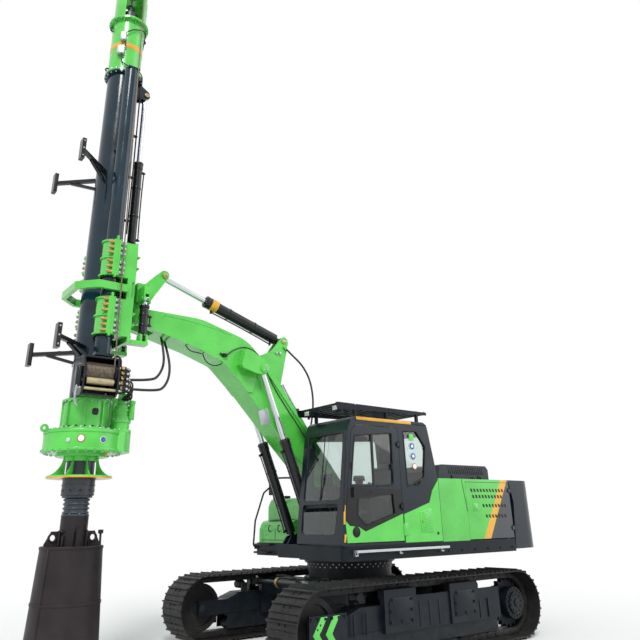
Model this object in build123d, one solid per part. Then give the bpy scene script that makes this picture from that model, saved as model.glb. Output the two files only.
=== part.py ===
from build123d import *
from math import atan2, cos, hypot, pi, radians, sin, sqrt, tan
import os

# Rotary piling rig: tracked carrier, knuckle boom, sliding mast with rotary head and drilling bucket.
# Millimetres, +X forward, +Y left, +Z up. Everything is modelled about the slewing axis at X = 0
# and is moved along X once, at the end, so that the rig's box is centred over its origin.

# ---------------------------------------------------------------- undercarriage
track_height = 905
track_length = 4500
track_gauge = 2800
shoe_width = 600
shoe_count = 52
shoe_plate = 14
grouser_height = 26
link_height = 90
link_width = 170
roller_fit = 0.3
roller_radius = 78
roller_count = 8
carrier_radius = 58
sprocket_teeth = 21
tooth_height = 34
sprocket_thickness = 74
idler_width = 112
axle_radius = 45
final_drive_radius = 205
final_drive_reach = 175
drive_cheek = 55
drive_cheek_radius = 200
frame_setback = 377.5
frame_bottom = 305
frame_top = 620
frame_width = 300
guard_length = 560
tower_height = 170
tower_width = 560
# along X: front tower, rear tower
tower_places = (536, -668)
beam_width = 300
beam_height = 250
beam_bottom = 560
turret_radius = 690
turret_bottom = 520
slew_ring_radius = 640
slew_ring_bottom = 960
slew_ring_height = 82
spread_cylinder_radius = 55
spread_cylinder_x = 900
spread_cylinder_z = 765
running_gap = 0.5
seat = 0.3

# ---------------------------------------------------------------- upper structure
deck_bottom = 1120
deck_top = 1300
deck_front = 1235
deck_front_middle = 1050
deck_front_right = 820
deck_half_width = 1385
tail_length = 3010
tail_corner = 420
body_top = 2158
panel_bottom = 1312
sheet = 40
counterweight_front = 2230
boom_well_half = 395
hood_rise = 285
hood_front = 1500
hood_rear = 2800
hood_half_width = 560
tank_front = 560
tank_top = 1950
tool_box_front = 785
tool_box_top = 1625

# ---------------------------------------------------------------- cab
cab_rear = 590
cab_nose = 1267
cab_roof = 2945
cab_wall = 48
cab_brow = 1060
glass_thickness = 6
door_gap = 6
door_rear_edge = 165
door_thickness = 44

# ---------------------------------------------------------------- boom and its cylinders
boom_foot_x = 100
boom_foot_z = 1700
boom_foot_radius = 135
boom_half_width = 205
boom_tip_half_width = 228
boom_tip_x = 3720
boom_tip_z = 4222
boom_tip_radius = 108
boom_pin_radius = 50
lift_foot_x = 830
lift_foot_z = 1330
lift_eye_x = 1810
lift_eye_z = 3700
lift_offset = 290
lift_barrel_length = 1498
lift_barrel_radius = 72
lift_rod_radius = 42
lift_pin_radius = 40
cheek_inner = 345
cheek_plate = 42
tilt_base_x = 1260
tilt_base_z = 4240
tilt_eye_x = 3360
tilt_eye_z = 4920
tilt_barrel_length = 1454
tilt_barrel_radius = 82
tilt_rod_radius = 42
tilt_pin_radius = 38
eye_width = 90
neck_length = 96
fitting_length = 60
gland_step = 7
side_play = 2

# ---------------------------------------------------------------- mast head block and carriage
roll_z = 4560
roll_pin_radius = 60
roll_eye_offset = 345
roll_eye_z = 4438
roll_foot_z = 3880
roll_cylinder_x = 3730
roll_barrel_radius = 58
roll_rod_radius = 34
block_rear = 3590
block_front = 3800
block_half_width = 215
block_bottom = 4425
block_top = 4690
carriage_back = 3940
carriage_plate = 42
carriage_bottom = 3780
carriage_top = 5150
clamp_zones = ((3840, 4332), (4627, 5130))
strap_z = 4476
strap_height = 100
strap_bar = 55
strap_reach = 420

# ---------------------------------------------------------------- mast
mast_x = 4240
mast_radius = 232
mast_wall = 12
mast_bottom = 3063
mast_joint = 8030
guide_radius = 104
guide_offset = 342
guide_bottom = 3600
guide_fit = 0.5
top_tube_radius = 245
top_tube_height = 1020
flange_plate = 30
lower_flange_radius = 283
upper_flange_radius = 305
fork_height = 620
sheave_rise = 180
sheave_radius = 265
sheave_width = 70
rope_radius = 9
crowd_x = 3868
crowd_foot_z = 5215
crowd_barrel_top = 6660
crowd_barrel_radius = 62
crowd_rod_radius = 36
crowd_drop = 180
rest_levels = (3701, 6260)
rest_reach = 640
rest_spread = 590
rest_bar = 52
rest_foot_height = 300

# ---------------------------------------------------------------- winch
drum_y = 410
drum_z = 3345
drum_radius = 128
drum_flange_radius = 158
winch_rear = 4075
winch_front = 4525
winch_plate = 22
winch_bottom = 3050
winch_gap = 70
winch_outer = 590
pressure_roller_radius = 41

# ---------------------------------------------------------------- rotary head, kelly bar and bucket
head_case_radius = 470
head_case_bottom = 2424
head_case_top = 2686
housing_radius = 278
motor_x = 3850
motor_spread = 190
motor_radius = 105
motor_top = 3160
trumpet_top = 2330
trumpet_bottom = 2140
trumpet_radius = 385
gusset_count = 8
flange_hole_radius = 11
flange_pitch_radius = 350
kelly_outer_radius = 165
kelly_outer_bore = 130
kelly_outer_rise = 570
kelly_inner_radius = 122
kelly_inner_drop = 370
collar_radius = 190
collar_bottom = 1940
spring_radius = 154
spring_wire = 14
spring_bottom = 1716
spring_turns = 4
box_radius = 158
box_bottom = 1330
bucket_top = 1390
bucket_bottom = 210
bucket_top_radius = 352
bucket_bottom_radius = 415
bucket_wall = 20
tooth_drop = 150
gate_thickness = 50
lug_hole_radius = 32
lug_hole_z = 1480
lug_spread = 235
kelly_gap = 5


# ---------------------------------------------------------------- heights that follow
fork_bottom = mast_joint + top_tube_height
fork_top = fork_bottom + fork_height
sheave_z = fork_top + sheave_rise
crowd_eye_z = mast_joint - crowd_drop
kelly_outer_top = mast_joint + kelly_outer_rise
kelly_inner_top = fork_top - kelly_inner_drop
winch_top = guide_bottom - winch_gap


# ---------------------------------------------------------------- construction helpers
def block(x0, x1, y0, y1, z0, z1):
    """Box between two corners."""
    return Pos((x0 + x1) / 2, (y0 + y1) / 2, (z0 + z1) / 2) * Box(abs(x1 - x0), abs(y1 - y0), abs(z1 - z0))


def disc_z(radius, x, y, z0, z1):
    """Upright cylinder between two heights."""
    return Pos(x, y, (z0 + z1) / 2) * Cylinder(radius, abs(z1 - z0))


def disc_x(radius, y, z, x0, x1):
    """Cylinder along X."""
    return Pos((x0 + x1) / 2, y, z) * Rot(0, 90, 0) * Cylinder(radius, abs(x1 - x0))


def disc_y(radius, x, z, y0, y1):
    """Cylinder along Y."""
    return Pos(x, (y0 + y1) / 2, z) * Rot(90, 0, 0) * Cylinder(radius, abs(y1 - y0))


def side_plate(outline, y0, y1):
    """Extrude an XZ outline from y0 to y1."""
    plane = Plane(origin=(0, y0, 0), x_dir=(1, 0, 0), z_dir=(0, -1, 0))
    return extrude(plane * make_face(Polyline(*outline, close=True)), y0 - y1)


def cross_plate(outline, x0, x1):
    """Extrude a YZ outline from x0 to x1."""
    plane = Plane(origin=(x0, 0, 0), x_dir=(0, 1, 0), z_dir=(1, 0, 0))
    return extrude(plane * make_face(Polyline(*outline, close=True)), x1 - x0)


def floor_plate(outline, z0, z1):
    """Extrude an XY outline from z0 to z1."""
    plane = Plane(origin=(0, 0, z0))
    return extrude(plane * make_face(Polyline(*outline, close=True)), z1 - z0)


def bar_between(start, end, radius, y=0.0):
    """Round bar from start to end, both (x, z), in the plane of constant y."""
    run = (end[0] - start[0], end[1] - start[1])
    plane = Plane(origin=(start[0], y, start[1]), z_dir=(run[0], 0, run[1]))
    return extrude(plane * Circle(radius), hypot(*run))


def along(start, end, distance):
    """Point on the way from start to end, both (x, z)."""
    share = distance / hypot(end[0] - start[0], end[1] - start[1])
    return (start[0] + share * (end[0] - start[0]), start[1] + share * (end[1] - start[1]))


def mirrored(shape):
    """The same shape on the other side of the centre plane."""
    return mirror(shape, about=Plane.XZ)


def both_sides(shape):
    """A shape and its mirror image."""
    return [shape, mirrored(shape)]


def fused(*shapes):
    """One shape from several that touch."""
    total = shapes[0]
    for shape in shapes[1:]:
        total = total + shape
    return total


def group(*shapes):
    """Solids that stay separate inside one node."""
    return Compound(children=[solid for shape in shapes for solid in shape.solids()])


def eye(x, z, radius, bore, y0, y1):
    """Ring along Y for a pin."""
    return disc_y(radius, x, z, y0, y1) - disc_y(bore, x, z, y0 - 1, y1 + 1)


# ---------------------------------------------------------------- undercarriage
end_radius = track_height / 2
axle_z = end_radius
axle_x = track_length / 2 - end_radius
frame_half_length = axle_x - frame_setback
shoe_line = end_radius - grouser_height - shoe_plate
wheel_radius = shoe_line - link_height
track_y = track_gauge / 2
# along one shoe: share of the pitch, share of the plate's thickness, share of the grouser's height
shoe_profile = (
    (0.00, 1.0, 0.0),
    (0.03, 1.0, 1.0),
    (0.11, 1.0, 1.0),
    (0.15, 1.0, 0.0),
    (0.50, 1.0, 0.0),
    (0.53, 1.0, 0.7),
    (0.59, 1.0, 0.7),
    (0.62, 1.0, 0.0),
    (0.94, 1.0, 0.0),
    (0.97, 0.4, 0.0),
)


def loop_point(distance, height):
    """Point of the track loop at a distance along it and a height over the shoe line."""
    straight = 2 * axle_x
    arc = pi * shoe_line
    radius = shoe_line + height
    distance = distance % (2 * straight + 2 * arc)
    if distance < straight:
        return (-axle_x + distance, axle_z + radius)
    distance -= straight
    if distance < arc:
        angle = pi / 2 - distance / shoe_line
        return (axle_x + radius * cos(angle), axle_z + radius * sin(angle))
    distance -= arc
    if distance < straight:
        return (axle_x - distance, axle_z - radius)
    angle = -pi / 2 - (distance - straight) / shoe_line
    return (-axle_x + radius * cos(angle), axle_z + radius * sin(angle))


def stadium(radius, y0, y1):
    """Solid between the two wheel centres, rounded at its ends."""
    body = block(-axle_x, axle_x, y0, y1, axle_z - radius, axle_z + radius)
    return fused(body, disc_y(radius, axle_x, axle_z, y0, y1), disc_y(radius, -axle_x, axle_z, y0, y1))


def track(side):
    """Shoe band with grousers and the link chain inside it, as one loop."""
    pitch = (4 * axle_x + 2 * pi * shoe_line) / shoe_count
    outline = [
        loop_point((shoe + share) * pitch, plate * shoe_plate + grouser * grouser_height)
        for shoe in range(shoe_count)
        for share, plate, grouser in shoe_profile
    ]
    centre = side * track_y
    shoes = side_plate(outline, centre - shoe_width / 2, centre + shoe_width / 2)
    shoes = shoes - stadium(shoe_line, centre - shoe_width, centre + shoe_width)
    links = stadium(shoe_line + shoe_plate / 2, centre - link_width / 2, centre + link_width / 2)
    links = links - stadium(wheel_radius, centre - shoe_width, centre + shoe_width)
    return shoes + links


frame_in = track_y - frame_width / 2
frame_out = track_y + frame_width / 2
roller_z = axle_z - wheel_radius + roller_radius + roller_fit
carrier_z = axle_z + wheel_radius - carrier_radius - roller_fit
roller_half = link_width / 2 - 8
carrier_positions = (-1080, 1080)


def track_frame():
    """Box frame of the left track with idler and drive forks, towers, guards and roller cheeks."""
    lower = frame_bottom
    outline = (
        (-frame_half_length, lower + 20),
        (frame_half_length, lower + 20),
        (frame_half_length, frame_top - 90),
        (carrier_positions[1] + 80, frame_top),
        (-frame_half_length, frame_top),
    )
    frame = side_plate(outline, frame_in, frame_out)
    fork_reach = axle_x + 60
    fork = block(frame_half_length - 60, fork_reach, frame_in, frame_out, axle_z - 105, axle_z + 90)
    slot_half = idler_width / 2 + 12
    slot = block(axle_x - wheel_radius - 20, fork_reach + 10, track_y - slot_half, track_y + slot_half, 0,
                 track_height)
    frame = (frame + fork) - slot
    cheek = block(-frame_half_length + 10, -axle_x, frame_in, frame_in + drive_cheek, axle_z - drive_cheek_radius,
                  axle_z + drive_cheek_radius)
    cheek = cheek + disc_y(drive_cheek_radius, -axle_x, axle_z, frame_in, frame_in + drive_cheek)
    frame = frame + cheek
    frame = frame - disc_y(final_drive_radius - 40 + roller_fit, -axle_x, axle_z, frame_in - 1,
                           frame_in + drive_cheek + 1)
    for x in tower_places:
        tower = (
            (x - tower_width / 2, lower + 10),
            (x + tower_width / 2, lower + 10),
            (x + tower_width / 2, frame_top + tower_height - 70),
            (x + tower_width / 2 - 60, frame_top + tower_height),
            (x - tower_width / 2, frame_top + tower_height),
        )
        outer = side_plate(tower, frame_out - 10, frame_out + 70)
        inner = side_plate(tower, frame_in - 70, frame_in + 10)
        cap = block(x - tower_width / 2, x + tower_width / 2, frame_in - 70, frame_out + 70,
                    frame_top + tower_height - 100, frame_top + tower_height)
        chain_way = block(x - tower_width, x + tower_width, track_y - link_width / 2 - 25,
                          track_y + link_width / 2 + 25, frame_top, track_height)
        frame = frame + ((outer + inner + cap) - chain_way)
    middle = block(tower_places[1], tower_places[0], frame_out - 10, frame_out + 45, lower + 10, frame_top + 75)
    rear = block(-frame_half_length - 20, tower_places[1], frame_out - 10, frame_out + 35, lower, frame_top + 70)
    frame = frame + middle + rear
    for y0, y1 in ((frame_in - 12, frame_in + 12), (frame_out - 12, frame_out + 12)):
        frame = frame + block(-frame_half_length + 40, frame_half_length - 40, y0, y1, roller_z - 60, lower + 40)
    guard = block(axle_x - guard_length + 160, axle_x + 160, frame_out - 10, frame_out + 30, 205, axle_z + 140)
    frame = frame + guard
    return frame - disc_y(axle_radius + roller_fit, axle_x, axle_z, frame_in - 1, frame_out - 10)


def track_rollers():
    """Lower rollers on both sides, their axle ends against the cheeks."""
    shapes = []
    spacing = 2 * (frame_half_length - 140) / (roller_count - 1)
    for index in range(roller_count):
        x = -frame_half_length + 140 + index * spacing
        roller = disc_y(roller_radius, x, roller_z, track_y - roller_half, track_y + roller_half)
        axle = disc_y(26, x, roller_z, frame_in + 12, frame_out - 12)
        shapes += both_sides(roller + axle)
    return group(*shapes)


def carrier_rollers():
    """Upper rollers on posts of the track frames."""
    shapes = []
    for x in carrier_positions:
        roller = disc_y(carrier_radius, x, carrier_z, track_y - roller_half, track_y + roller_half)
        axle = disc_y(28, x, carrier_z, track_y - roller_half - 70, track_y + roller_half)
        post = block(x - 45, x + 45, track_y - roller_half - 70, track_y - roller_half - 30, frame_top,
                     carrier_z + 28)
        shapes += both_sides(fused(roller, axle, post))
    return group(*shapes)


def idlers():
    """Front wheels with raised rim and axle, one in each fork."""
    wheel = disc_y(wheel_radius - roller_fit, axle_x, axle_z, track_y - idler_width / 2, track_y + idler_width / 2)
    for y0, y1 in ((-idler_width / 2 - 1, -idler_width / 2 + 26), (idler_width / 2 - 26, idler_width / 2 + 1)):
        recess = disc_y(wheel_radius - 70, axle_x, axle_z, track_y + y0, track_y + y1)
        recess = recess - disc_y(axle_radius + 55, axle_x, axle_z, track_y + y0 - 1, track_y + y1 + 1)
        wheel = wheel - recess
    axle = disc_y(axle_radius, axle_x, axle_z, frame_in, frame_out - 10)
    return group(*both_sides(wheel + axle))


def sprocket_outline():
    """Toothed outline in the XZ plane about the rear axle."""
    tip = wheel_radius - roller_fit
    root = tip - tooth_height
    # along one tooth: share of the pitch angle, radius
    tooth = ((0.00, root), (0.22, root), (0.40, tip), (0.60, tip), (0.78, root))
    points = []
    for index in range(sprocket_teeth):
        for share, radius in tooth:
            angle = 2 * pi * (index + share) / sprocket_teeth
            points.append((-axle_x + radius * cos(angle), axle_z + radius * sin(angle)))
    return points


def final_drives():
    """Sprocket and planetary hub of each track, as one piece."""
    half = sprocket_thickness / 2
    wheel = side_plate(sprocket_outline(), track_y - half, track_y + half)
    hub = disc_y(final_drive_radius, -axle_x, axle_z, track_y + half, track_y + final_drive_reach)
    cap = disc_y(final_drive_radius - 60, -axle_x, axle_z, track_y + half, track_y + final_drive_reach + 28)
    motor = disc_y(final_drive_radius - 40, -axle_x, axle_z, frame_in - 60, track_y - half)
    return group(*both_sides(fused(wheel, hub, cap, motor)))


def centre_frame():
    """Turret with a cross tube to each tower of the track frames."""
    frame = disc_z(turret_radius, 0, 0, turret_bottom, slew_ring_bottom - 120)
    frame = frame + disc_z(slew_ring_radius - 20, 0, 0, slew_ring_bottom - 121, slew_ring_bottom)
    for x in tower_places:
        tube = block(x - beam_width / 2, x + beam_width / 2, -(frame_in - 70), frame_in - 70,
                     beam_bottom, beam_bottom + beam_height)
        frame = frame + tube
    return frame


def slew_ring():
    """Lower race of the slewing bearing."""
    ring = disc_z(slew_ring_radius, 0, 0, slew_ring_bottom, slew_ring_bottom + slew_ring_height)
    return ring - disc_z(slew_ring_radius - 110, 0, 0, slew_ring_bottom - 1, slew_ring_bottom + slew_ring_height + 1)


def spread_cylinders():
    """Two gauge cylinders from an ear on the turret out to the track frames."""
    x = spread_cylinder_x
    z = spread_cylinder_z
    barrel_end = 610
    half = disc_y(spread_cylinder_radius, x, z, 90, barrel_end)
    half = half + disc_y(spread_cylinder_radius + 9, x, z, barrel_end - 60, barrel_end - 10)
    half = half + disc_y(spread_cylinder_radius / 2, x, z, barrel_end - 1, frame_in - 95)
    half = half + block(x - 50, x + 50, frame_in - 130, frame_in, z - 50, z + 45)
    mount = block(max(tower_places[0] + beam_width / 2, turret_radius) + seat, x + 40, -100, 100, z - 45, z + 45)
    return fused(half, mirrored(half), mount)


deck_seat = slew_ring_bottom + slew_ring_height + seat


# ---------------------------------------------------------------- upper structure
def rounded_plate(outline, radii, y0, y1):
    """Extrude an XZ outline with one corner radius for each point."""
    plane = Plane(origin=(0, y0, 0), x_dir=(1, 0, 0), z_dir=(0, -1, 0))
    return extrude(plane * make_face(FilletPolyline(*outline, radius=radii, close=True)), y0 - y1)


def rounded_cross(outline, radius, x0, x1):
    """Extrude a YZ outline with equal corner radii from x0 to x1."""
    plane = Plane(origin=(x0, 0, 0), x_dir=(0, 1, 0), z_dir=(1, 0, 0))
    return extrude(plane * make_face(FilletPolyline(*outline, radius=radius, close=True)), x1 - x0)


def rounded_floor(outline, radii, z0, z1):
    """Extrude an XY outline with one corner radius for each point."""
    plane = Plane(origin=(0, 0, z0))
    return extrude(plane * make_face(FilletPolyline(*outline, radius=radii, close=True)), z1 - z0)


bracket_inner = boom_half_width + 7
bracket_plate = 26
lift_bracket_inner = lift_offset + eye_width / 2 + side_play
tail_line = counterweight_front + 10


def slew_frame():
    """Main deck with the upper race and the bracket plates of the boom and its cylinders."""
    half = deck_half_width
    outline = (
        (deck_front, boom_well_half),
        (deck_front, half),
        (-tail_line, half),
        (-tail_line, -half),
        (deck_front_right, -half),
        (deck_front_right, -boom_well_half),
        (deck_front_middle, -boom_well_half),
        (deck_front_middle, boom_well_half),
    )
    deck = rounded_floor(outline, (20, 90, 0, 0, 90, 20, 20, 20), deck_bottom, deck_top)
    sole = disc_z(slew_ring_radius + 40, 0, 0, deck_seat, deck_bottom)
    frame = deck + sole
    boom_bracket = (
        (boom_foot_x - 230, deck_top - 10),
        (lift_foot_x + 170, deck_top - 10),
        (lift_foot_x + 95, lift_foot_z + 70),
        (lift_foot_x - 60, lift_foot_z + 120),
        (boom_foot_x + 150, boom_foot_z + 90),
        (boom_foot_x + 70, boom_foot_z + 150),
        (boom_foot_x - 70, boom_foot_z + 150),
        (boom_foot_x - 160, boom_foot_z + 60),
    )
    foot_ear = (
        (lift_foot_x - 130, deck_top - 10),
        (lift_foot_x + 170, deck_top - 10),
        (lift_foot_x + 80, lift_foot_z + 80),
        (lift_foot_x - 80, lift_foot_z + 80),
    )
    for side in (1, -1):
        inner = sorted((side * bracket_inner, side * (bracket_inner + bracket_plate)))
        outer = sorted((side * lift_bracket_inner, side * (lift_bracket_inner + bracket_plate)))
        frame = frame + rounded_plate(boom_bracket, (0, 0, 40, 60, 60, 60, 60, 60), *inner)
        frame = frame + rounded_plate(foot_ear, (0, 0, 60, 60), *outer)
    pit = block(lift_foot_x - 135, lift_foot_x + 125, -lift_bracket_inner, lift_bracket_inner, deck_top - 130,
                deck_top + 5)
    web = block(lift_foot_x - 140, lift_foot_x + 130, -bracket_inner + 4, bracket_inner - 4, deck_top - 140, deck_top)
    frame = frame - (pit - web)
    reach = lift_bracket_inner + bracket_plate + 6
    frame = frame + disc_y(lift_pin_radius, lift_foot_x, lift_foot_z, bracket_inner - 6, reach)
    frame = frame + disc_y(lift_pin_radius, lift_foot_x, lift_foot_z, -reach, -bracket_inner + 6)
    return frame + disc_y(boom_pin_radius, boom_foot_x, boom_foot_z, -bracket_inner - bracket_plate - 12,
                          bracket_inner + bracket_plate + 12)


body_front = -cab_rear - 15
hood_seat = seat
# hinges of the hood and of the side doors: axis, places, half length of a knuckle, knuckle and pin radius
hood_hinge_x = 16 - hood_front
hood_hinge_z = body_top + 16
hood_hinge_places = (350, -350)
# fixed panel ahead of each side door
fixed_panel = 585
# along one louvre row of a side door: front end, rear end, how far below the body's top
louvre_rows = ((-1290, -2120, 138), (-1320, -2130, 228), (-1540, -2140, 358), (-1590, -2150, 508))
louvre_pitch = 74
louvre_width = 44
louvre_height = 46
louvre_lean = 18
side_hinge_x = -tail_line + 4
side_hinge_y = deck_half_width + 12
side_hinge_levels = (1450, 2000)
knuckle_half = 25
knuckle_radius = 11
knuckle_pin = 5


def counterweight():
    """Cast counterweight with rounded tail corners, its front face raked."""
    half = deck_half_width
    outline = ((-tail_line + 8, -half), (-tail_line + 8, half), (-tail_length, half - 60), (-tail_length, 60 - half))
    casting = rounded_floor(outline, (0, 0, tail_corner, tail_corner), deck_bottom + 30, body_top)
    side = (
        (-tail_line - seat, deck_bottom),
        (-tail_line - 90, body_top - 330),
        (-tail_line - seat, body_top + 1),
        (-tail_length - 1, body_top + 1),
        (-tail_length - 1, deck_bottom),
    )
    casting = casting & rounded_plate(side, (0, 260, 0, 0, 90), -half - 1, half + 1)
    for z in side_hinge_levels:
        for low in (z - knuckle_half - 15, z + knuckle_half + 1):
            ear = block(-tail_line - 70, side_hinge_x, half - 40, side_hinge_y + 6, low, low + 14)
            ear = ear + disc_z(knuckle_radius, side_hinge_x, side_hinge_y, low, low + 14)
            casting = casting + ear + mirrored(ear)
        pin = disc_z(knuckle_pin, side_hinge_x, side_hinge_y, z - knuckle_half - 15, z + knuckle_half + 15)
        casting = casting + pin + mirrored(pin)
    return casting


def body_shell():
    """Engine bay walls: bulkhead, left and right fixed panels, cab side skin and the top cover."""
    half = deck_half_width
    top = block(body_front, -tail_line, -half, half, body_top - sheet, body_top)
    bay = block(-hood_front - 60, -tail_line - 1, -hood_half_width + 60, hood_half_width - 60, body_top - sheet - 1,
                body_top + 1)
    bulkhead = block(body_front, body_front - sheet, -half, half, deck_top, body_top - sheet)
    panel_end = body_front - fixed_panel
    left = block(body_front - sheet, panel_end, half - sheet, half, deck_top, body_top - sheet)
    shell = fused(top - bay, bulkhead, left, mirrored(left))
    for x in (panel_end, -tail_line + 60):
        post = block(x, x + 60, half - sheet - 60, half - sheet - seat, deck_top, body_top - sheet)
        shell = shell + post + mirrored(post)
    for y in hood_hinge_places:
        for low in (y - knuckle_half - 15, y + knuckle_half + 1):
            shell = shell + block(hood_hinge_x - 11, hood_hinge_x + 11, low, low + 14, body_top - 2, hood_hinge_z)
            shell = shell + disc_y(knuckle_radius, hood_hinge_x, hood_hinge_z, low, low + 14)
        shell = shell + disc_y(knuckle_pin, hood_hinge_x, hood_hinge_z, y - knuckle_half - 15, y + knuckle_half + 15)
    return shell


def side_door(side):
    """Engine bay door between the fixed panel and the counterweight, with slanted louvres."""
    half = deck_half_width
    front = body_front - fixed_panel - door_gap
    rear = -tail_line + door_gap
    door = block(rear, front, half - sheet, half, deck_top + 12, body_top - sheet - door_gap)
    for row_front, row_rear, drop in louvre_rows:
        z = body_top - drop
        low = z - louvre_height
        for index in range(int((row_front - row_rear) // louvre_pitch)):
            x = row_front - index * louvre_pitch
            foot = x - louvre_lean
            slot = ((x, z), (x - louvre_width, z), (foot - louvre_width, low), (foot, low))
            door = door - side_plate(slot, half - 8, half + 1)
    for z in side_hinge_levels:
        span = (z - knuckle_half, z + knuckle_half)
        door = door + block(side_hinge_x, rear + 34, half - 2, side_hinge_y + 6, *span)
        door = door + disc_z(knuckle_radius, side_hinge_x, side_hinge_y, *span)
        door = door - disc_z(knuckle_pin + seat, side_hinge_x, side_hinge_y, z - knuckle_half - 1, z + knuckle_half + 1)
    return door if side > 0 else mirrored(door)


def engine_hood():
    """Raised cover over the engine, open slats on its top and sides."""
    outer = (
        (-hood_front, body_top + hood_seat),
        (-hood_front - 60, body_top + hood_rise - 12),
        (-hood_front - 110, body_top + hood_rise),
        (-hood_rear + 60, body_top + hood_rise),
        (-hood_rear, body_top + hood_rise - 60),
        (-hood_rear, body_top + hood_seat),
    )
    half = hood_half_width
    hood = rounded_plate(outer, (0, 30, 40, 40, 40, 0), -half, half)
    hood = hood - block(-hood_front - 90, -hood_rear + 30, -half + 30, half - 30, body_top, body_top + hood_rise - 30)
    for index in range(14):
        x = -hood_front - 170 - index * 80
        hood = hood - block(x, x - 42, -half + 60, half - 60, body_top + hood_rise - 31, body_top + hood_rise + 1)
    for y in hood_hinge_places:
        span = (y - knuckle_half, y + knuckle_half)
        hood = hood + block(-hood_front - 30, hood_hinge_x, *span, hood_hinge_z - 8, hood_hinge_z + 8)
        hood = hood + disc_y(knuckle_radius, hood_hinge_x, hood_hinge_z, *span)
        hood = hood - disc_y(knuckle_pin + seat, hood_hinge_x, hood_hinge_z, y - knuckle_half - 1, y + knuckle_half + 1)
    return hood


def engine_block():
    """Engine as one plain mass on two feet."""
    front = -hood_front - 100
    body = block(front, front - 560, -420, 420, deck_top + 120, body_top - 140)
    foot = block(front - 60, front - 200, -300, 300, deck_top, deck_top + 120)
    rear = block(front - 380, front - 520, -300, 300, deck_top, deck_top + 120)
    return fused(body, foot, rear)


def right_side():
    """Tank and, ahead of it, the rounded tool box with its step plate."""
    half = deck_half_width
    tank_outline = ((-cab_rear, deck_top), (tank_front, deck_top), (tank_front, tank_top - 120),
                    (tank_front - 60, tank_top), (-cab_rear, tank_top))
    tank = rounded_plate(tank_outline, (0, 0, 60, 60, 30), -half, -boom_well_half)
    box_outline = ((tank_front + 12, deck_top), (tool_box_front, deck_top), (tool_box_front, tool_box_top - 130),
                   (tool_box_front - 60, tool_box_top), (tank_front + 12, tool_box_top))
    box = rounded_plate(box_outline, (0, 0, 40, 110, 20), -half + 80, -boom_well_half - 60)
    for index in range(3):
        z = 1400 + index * 55
        box = box - block(tool_box_front - 6, tool_box_front + 1, -1120, -1030, z, z + 22)
    return group(tank, box)


# ---------------------------------------------------------------- cab
cab_left = deck_half_width
cab_right = boom_well_half
cab_profile = (
    (-cab_rear, deck_top + 0.3),
    (cab_nose, deck_top + 0.3),
    (cab_nose - 24, 1620),
    (cab_brow + 40, 2760),
    (cab_brow - 30, cab_roof),
    (-cab_rear + 150, cab_roof),
    (-cab_rear + 2, 2200),
)
cab_radii = (0, 30, 60, 60, 110, 110, 120)
front_low = cab_profile[2]
front_high = cab_profile[3]
door_outline = (
    (door_rear_edge, panel_bottom + 20),
    (cab_nose - 75, panel_bottom + 20),
    (cab_nose - 70, 1600),
    (cab_brow - 15, 2735),
    (cab_brow - 90, 2830),
    (door_rear_edge, 2830),
)
door_radii = (10, 30, 60, 70, 90, 30)
upper_window = ((300, 2055), (1085, 2020), (990, 2687), (285, 2755))
lower_window = ((300, 1675), (840, 1535), (990, 1670), (962, 1873), (322, 1940))
rear_window = ((34, 2030), (-315, 2155), (-385, 2590), (-215, 2805), (56, 2795))
right_window = ((-330, 2060), (985, 2060), (930, 2687), (-280, 2755))
windscreen = ((cab_right + 90, 1862), (cab_left - 100, 1862), (cab_left - 100, 2735), (cab_right + 90, 2735))
lower_screen = ((cab_right + 90, 1440), (cab_left - 170, 1440), (cab_left - 120, 1812), (cab_right + 90, 1812))
back_light = ((cab_right + 140, 2260), (cab_left - 140, 2260), (cab_left - 140, 2760), (cab_right + 140, 2760))
corner = 45


def side_window(outline, y0, y1, grow=0):
    """Extrude a window outline with rounded corners through a side wall."""
    plane = Plane(origin=(0, y0, 0), x_dir=(1, 0, 0), z_dir=(0, -1, 0))
    face = make_face(FilletPolyline(*outline, radius=corner, close=True))
    if grow:
        face = offset(face, grow)
    return extrude(plane * face, y0 - y1)


# door hinge: axis, heights, half height of a knuckle, pin radius
hinge_x = door_rear_edge - 3
hinge_y = cab_left + 18
hinge_levels = (1770, 2600)
hinge_half = 28
hinge_pin = 6


def cab_shell():
    """Hollow cab with its doorway and windows cut, green below the door's sill line by its skin."""
    shell = rounded_plate(cab_profile, cab_radii, cab_right, cab_left)
    plane = Plane(origin=(0, cab_right + cab_wall, 0), x_dir=(1, 0, 0), z_dir=(0, -1, 0))
    inner = offset(make_face(FilletPolyline(*cab_profile, radius=cab_radii, close=True)), -cab_wall)
    shell = shell - extrude(plane * inner, -(cab_left - cab_right - 2 * cab_wall))
    doorway = offset(make_face(FilletPolyline(*door_outline, radius=door_radii, close=True)), door_gap)
    door_plane = Plane(origin=(0, cab_left - cab_wall - 1, 0), x_dir=(1, 0, 0), z_dir=(0, -1, 0))
    shell = shell - extrude(door_plane * doorway, -(cab_wall + 2))
    shell = shell - side_window(rear_window, cab_left - cab_wall - 1, cab_left + 1)
    shell = shell - side_window(right_window, cab_right - 1, cab_right + cab_wall + 1)
    for outline in (windscreen, lower_screen):
        shell = shell - rounded_cross(outline, corner, cab_brow - 60, cab_nose + 1)
    shell = shell - rounded_cross(back_light, corner, -cab_rear - 1, -cab_rear + 250)
    for z in hinge_levels:
        for low in (z - hinge_half - 16, z + hinge_half + 1):
            shell = shell + block(hinge_x - 42, hinge_x, cab_left - 3, hinge_y + 5, low, low + 15)
            shell = shell + disc_z(11, hinge_x, hinge_y, low, low + 15)
        shell = shell + disc_z(hinge_pin, hinge_x, hinge_y, z - hinge_half - 16, z + hinge_half + 16)
    return shell


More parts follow.
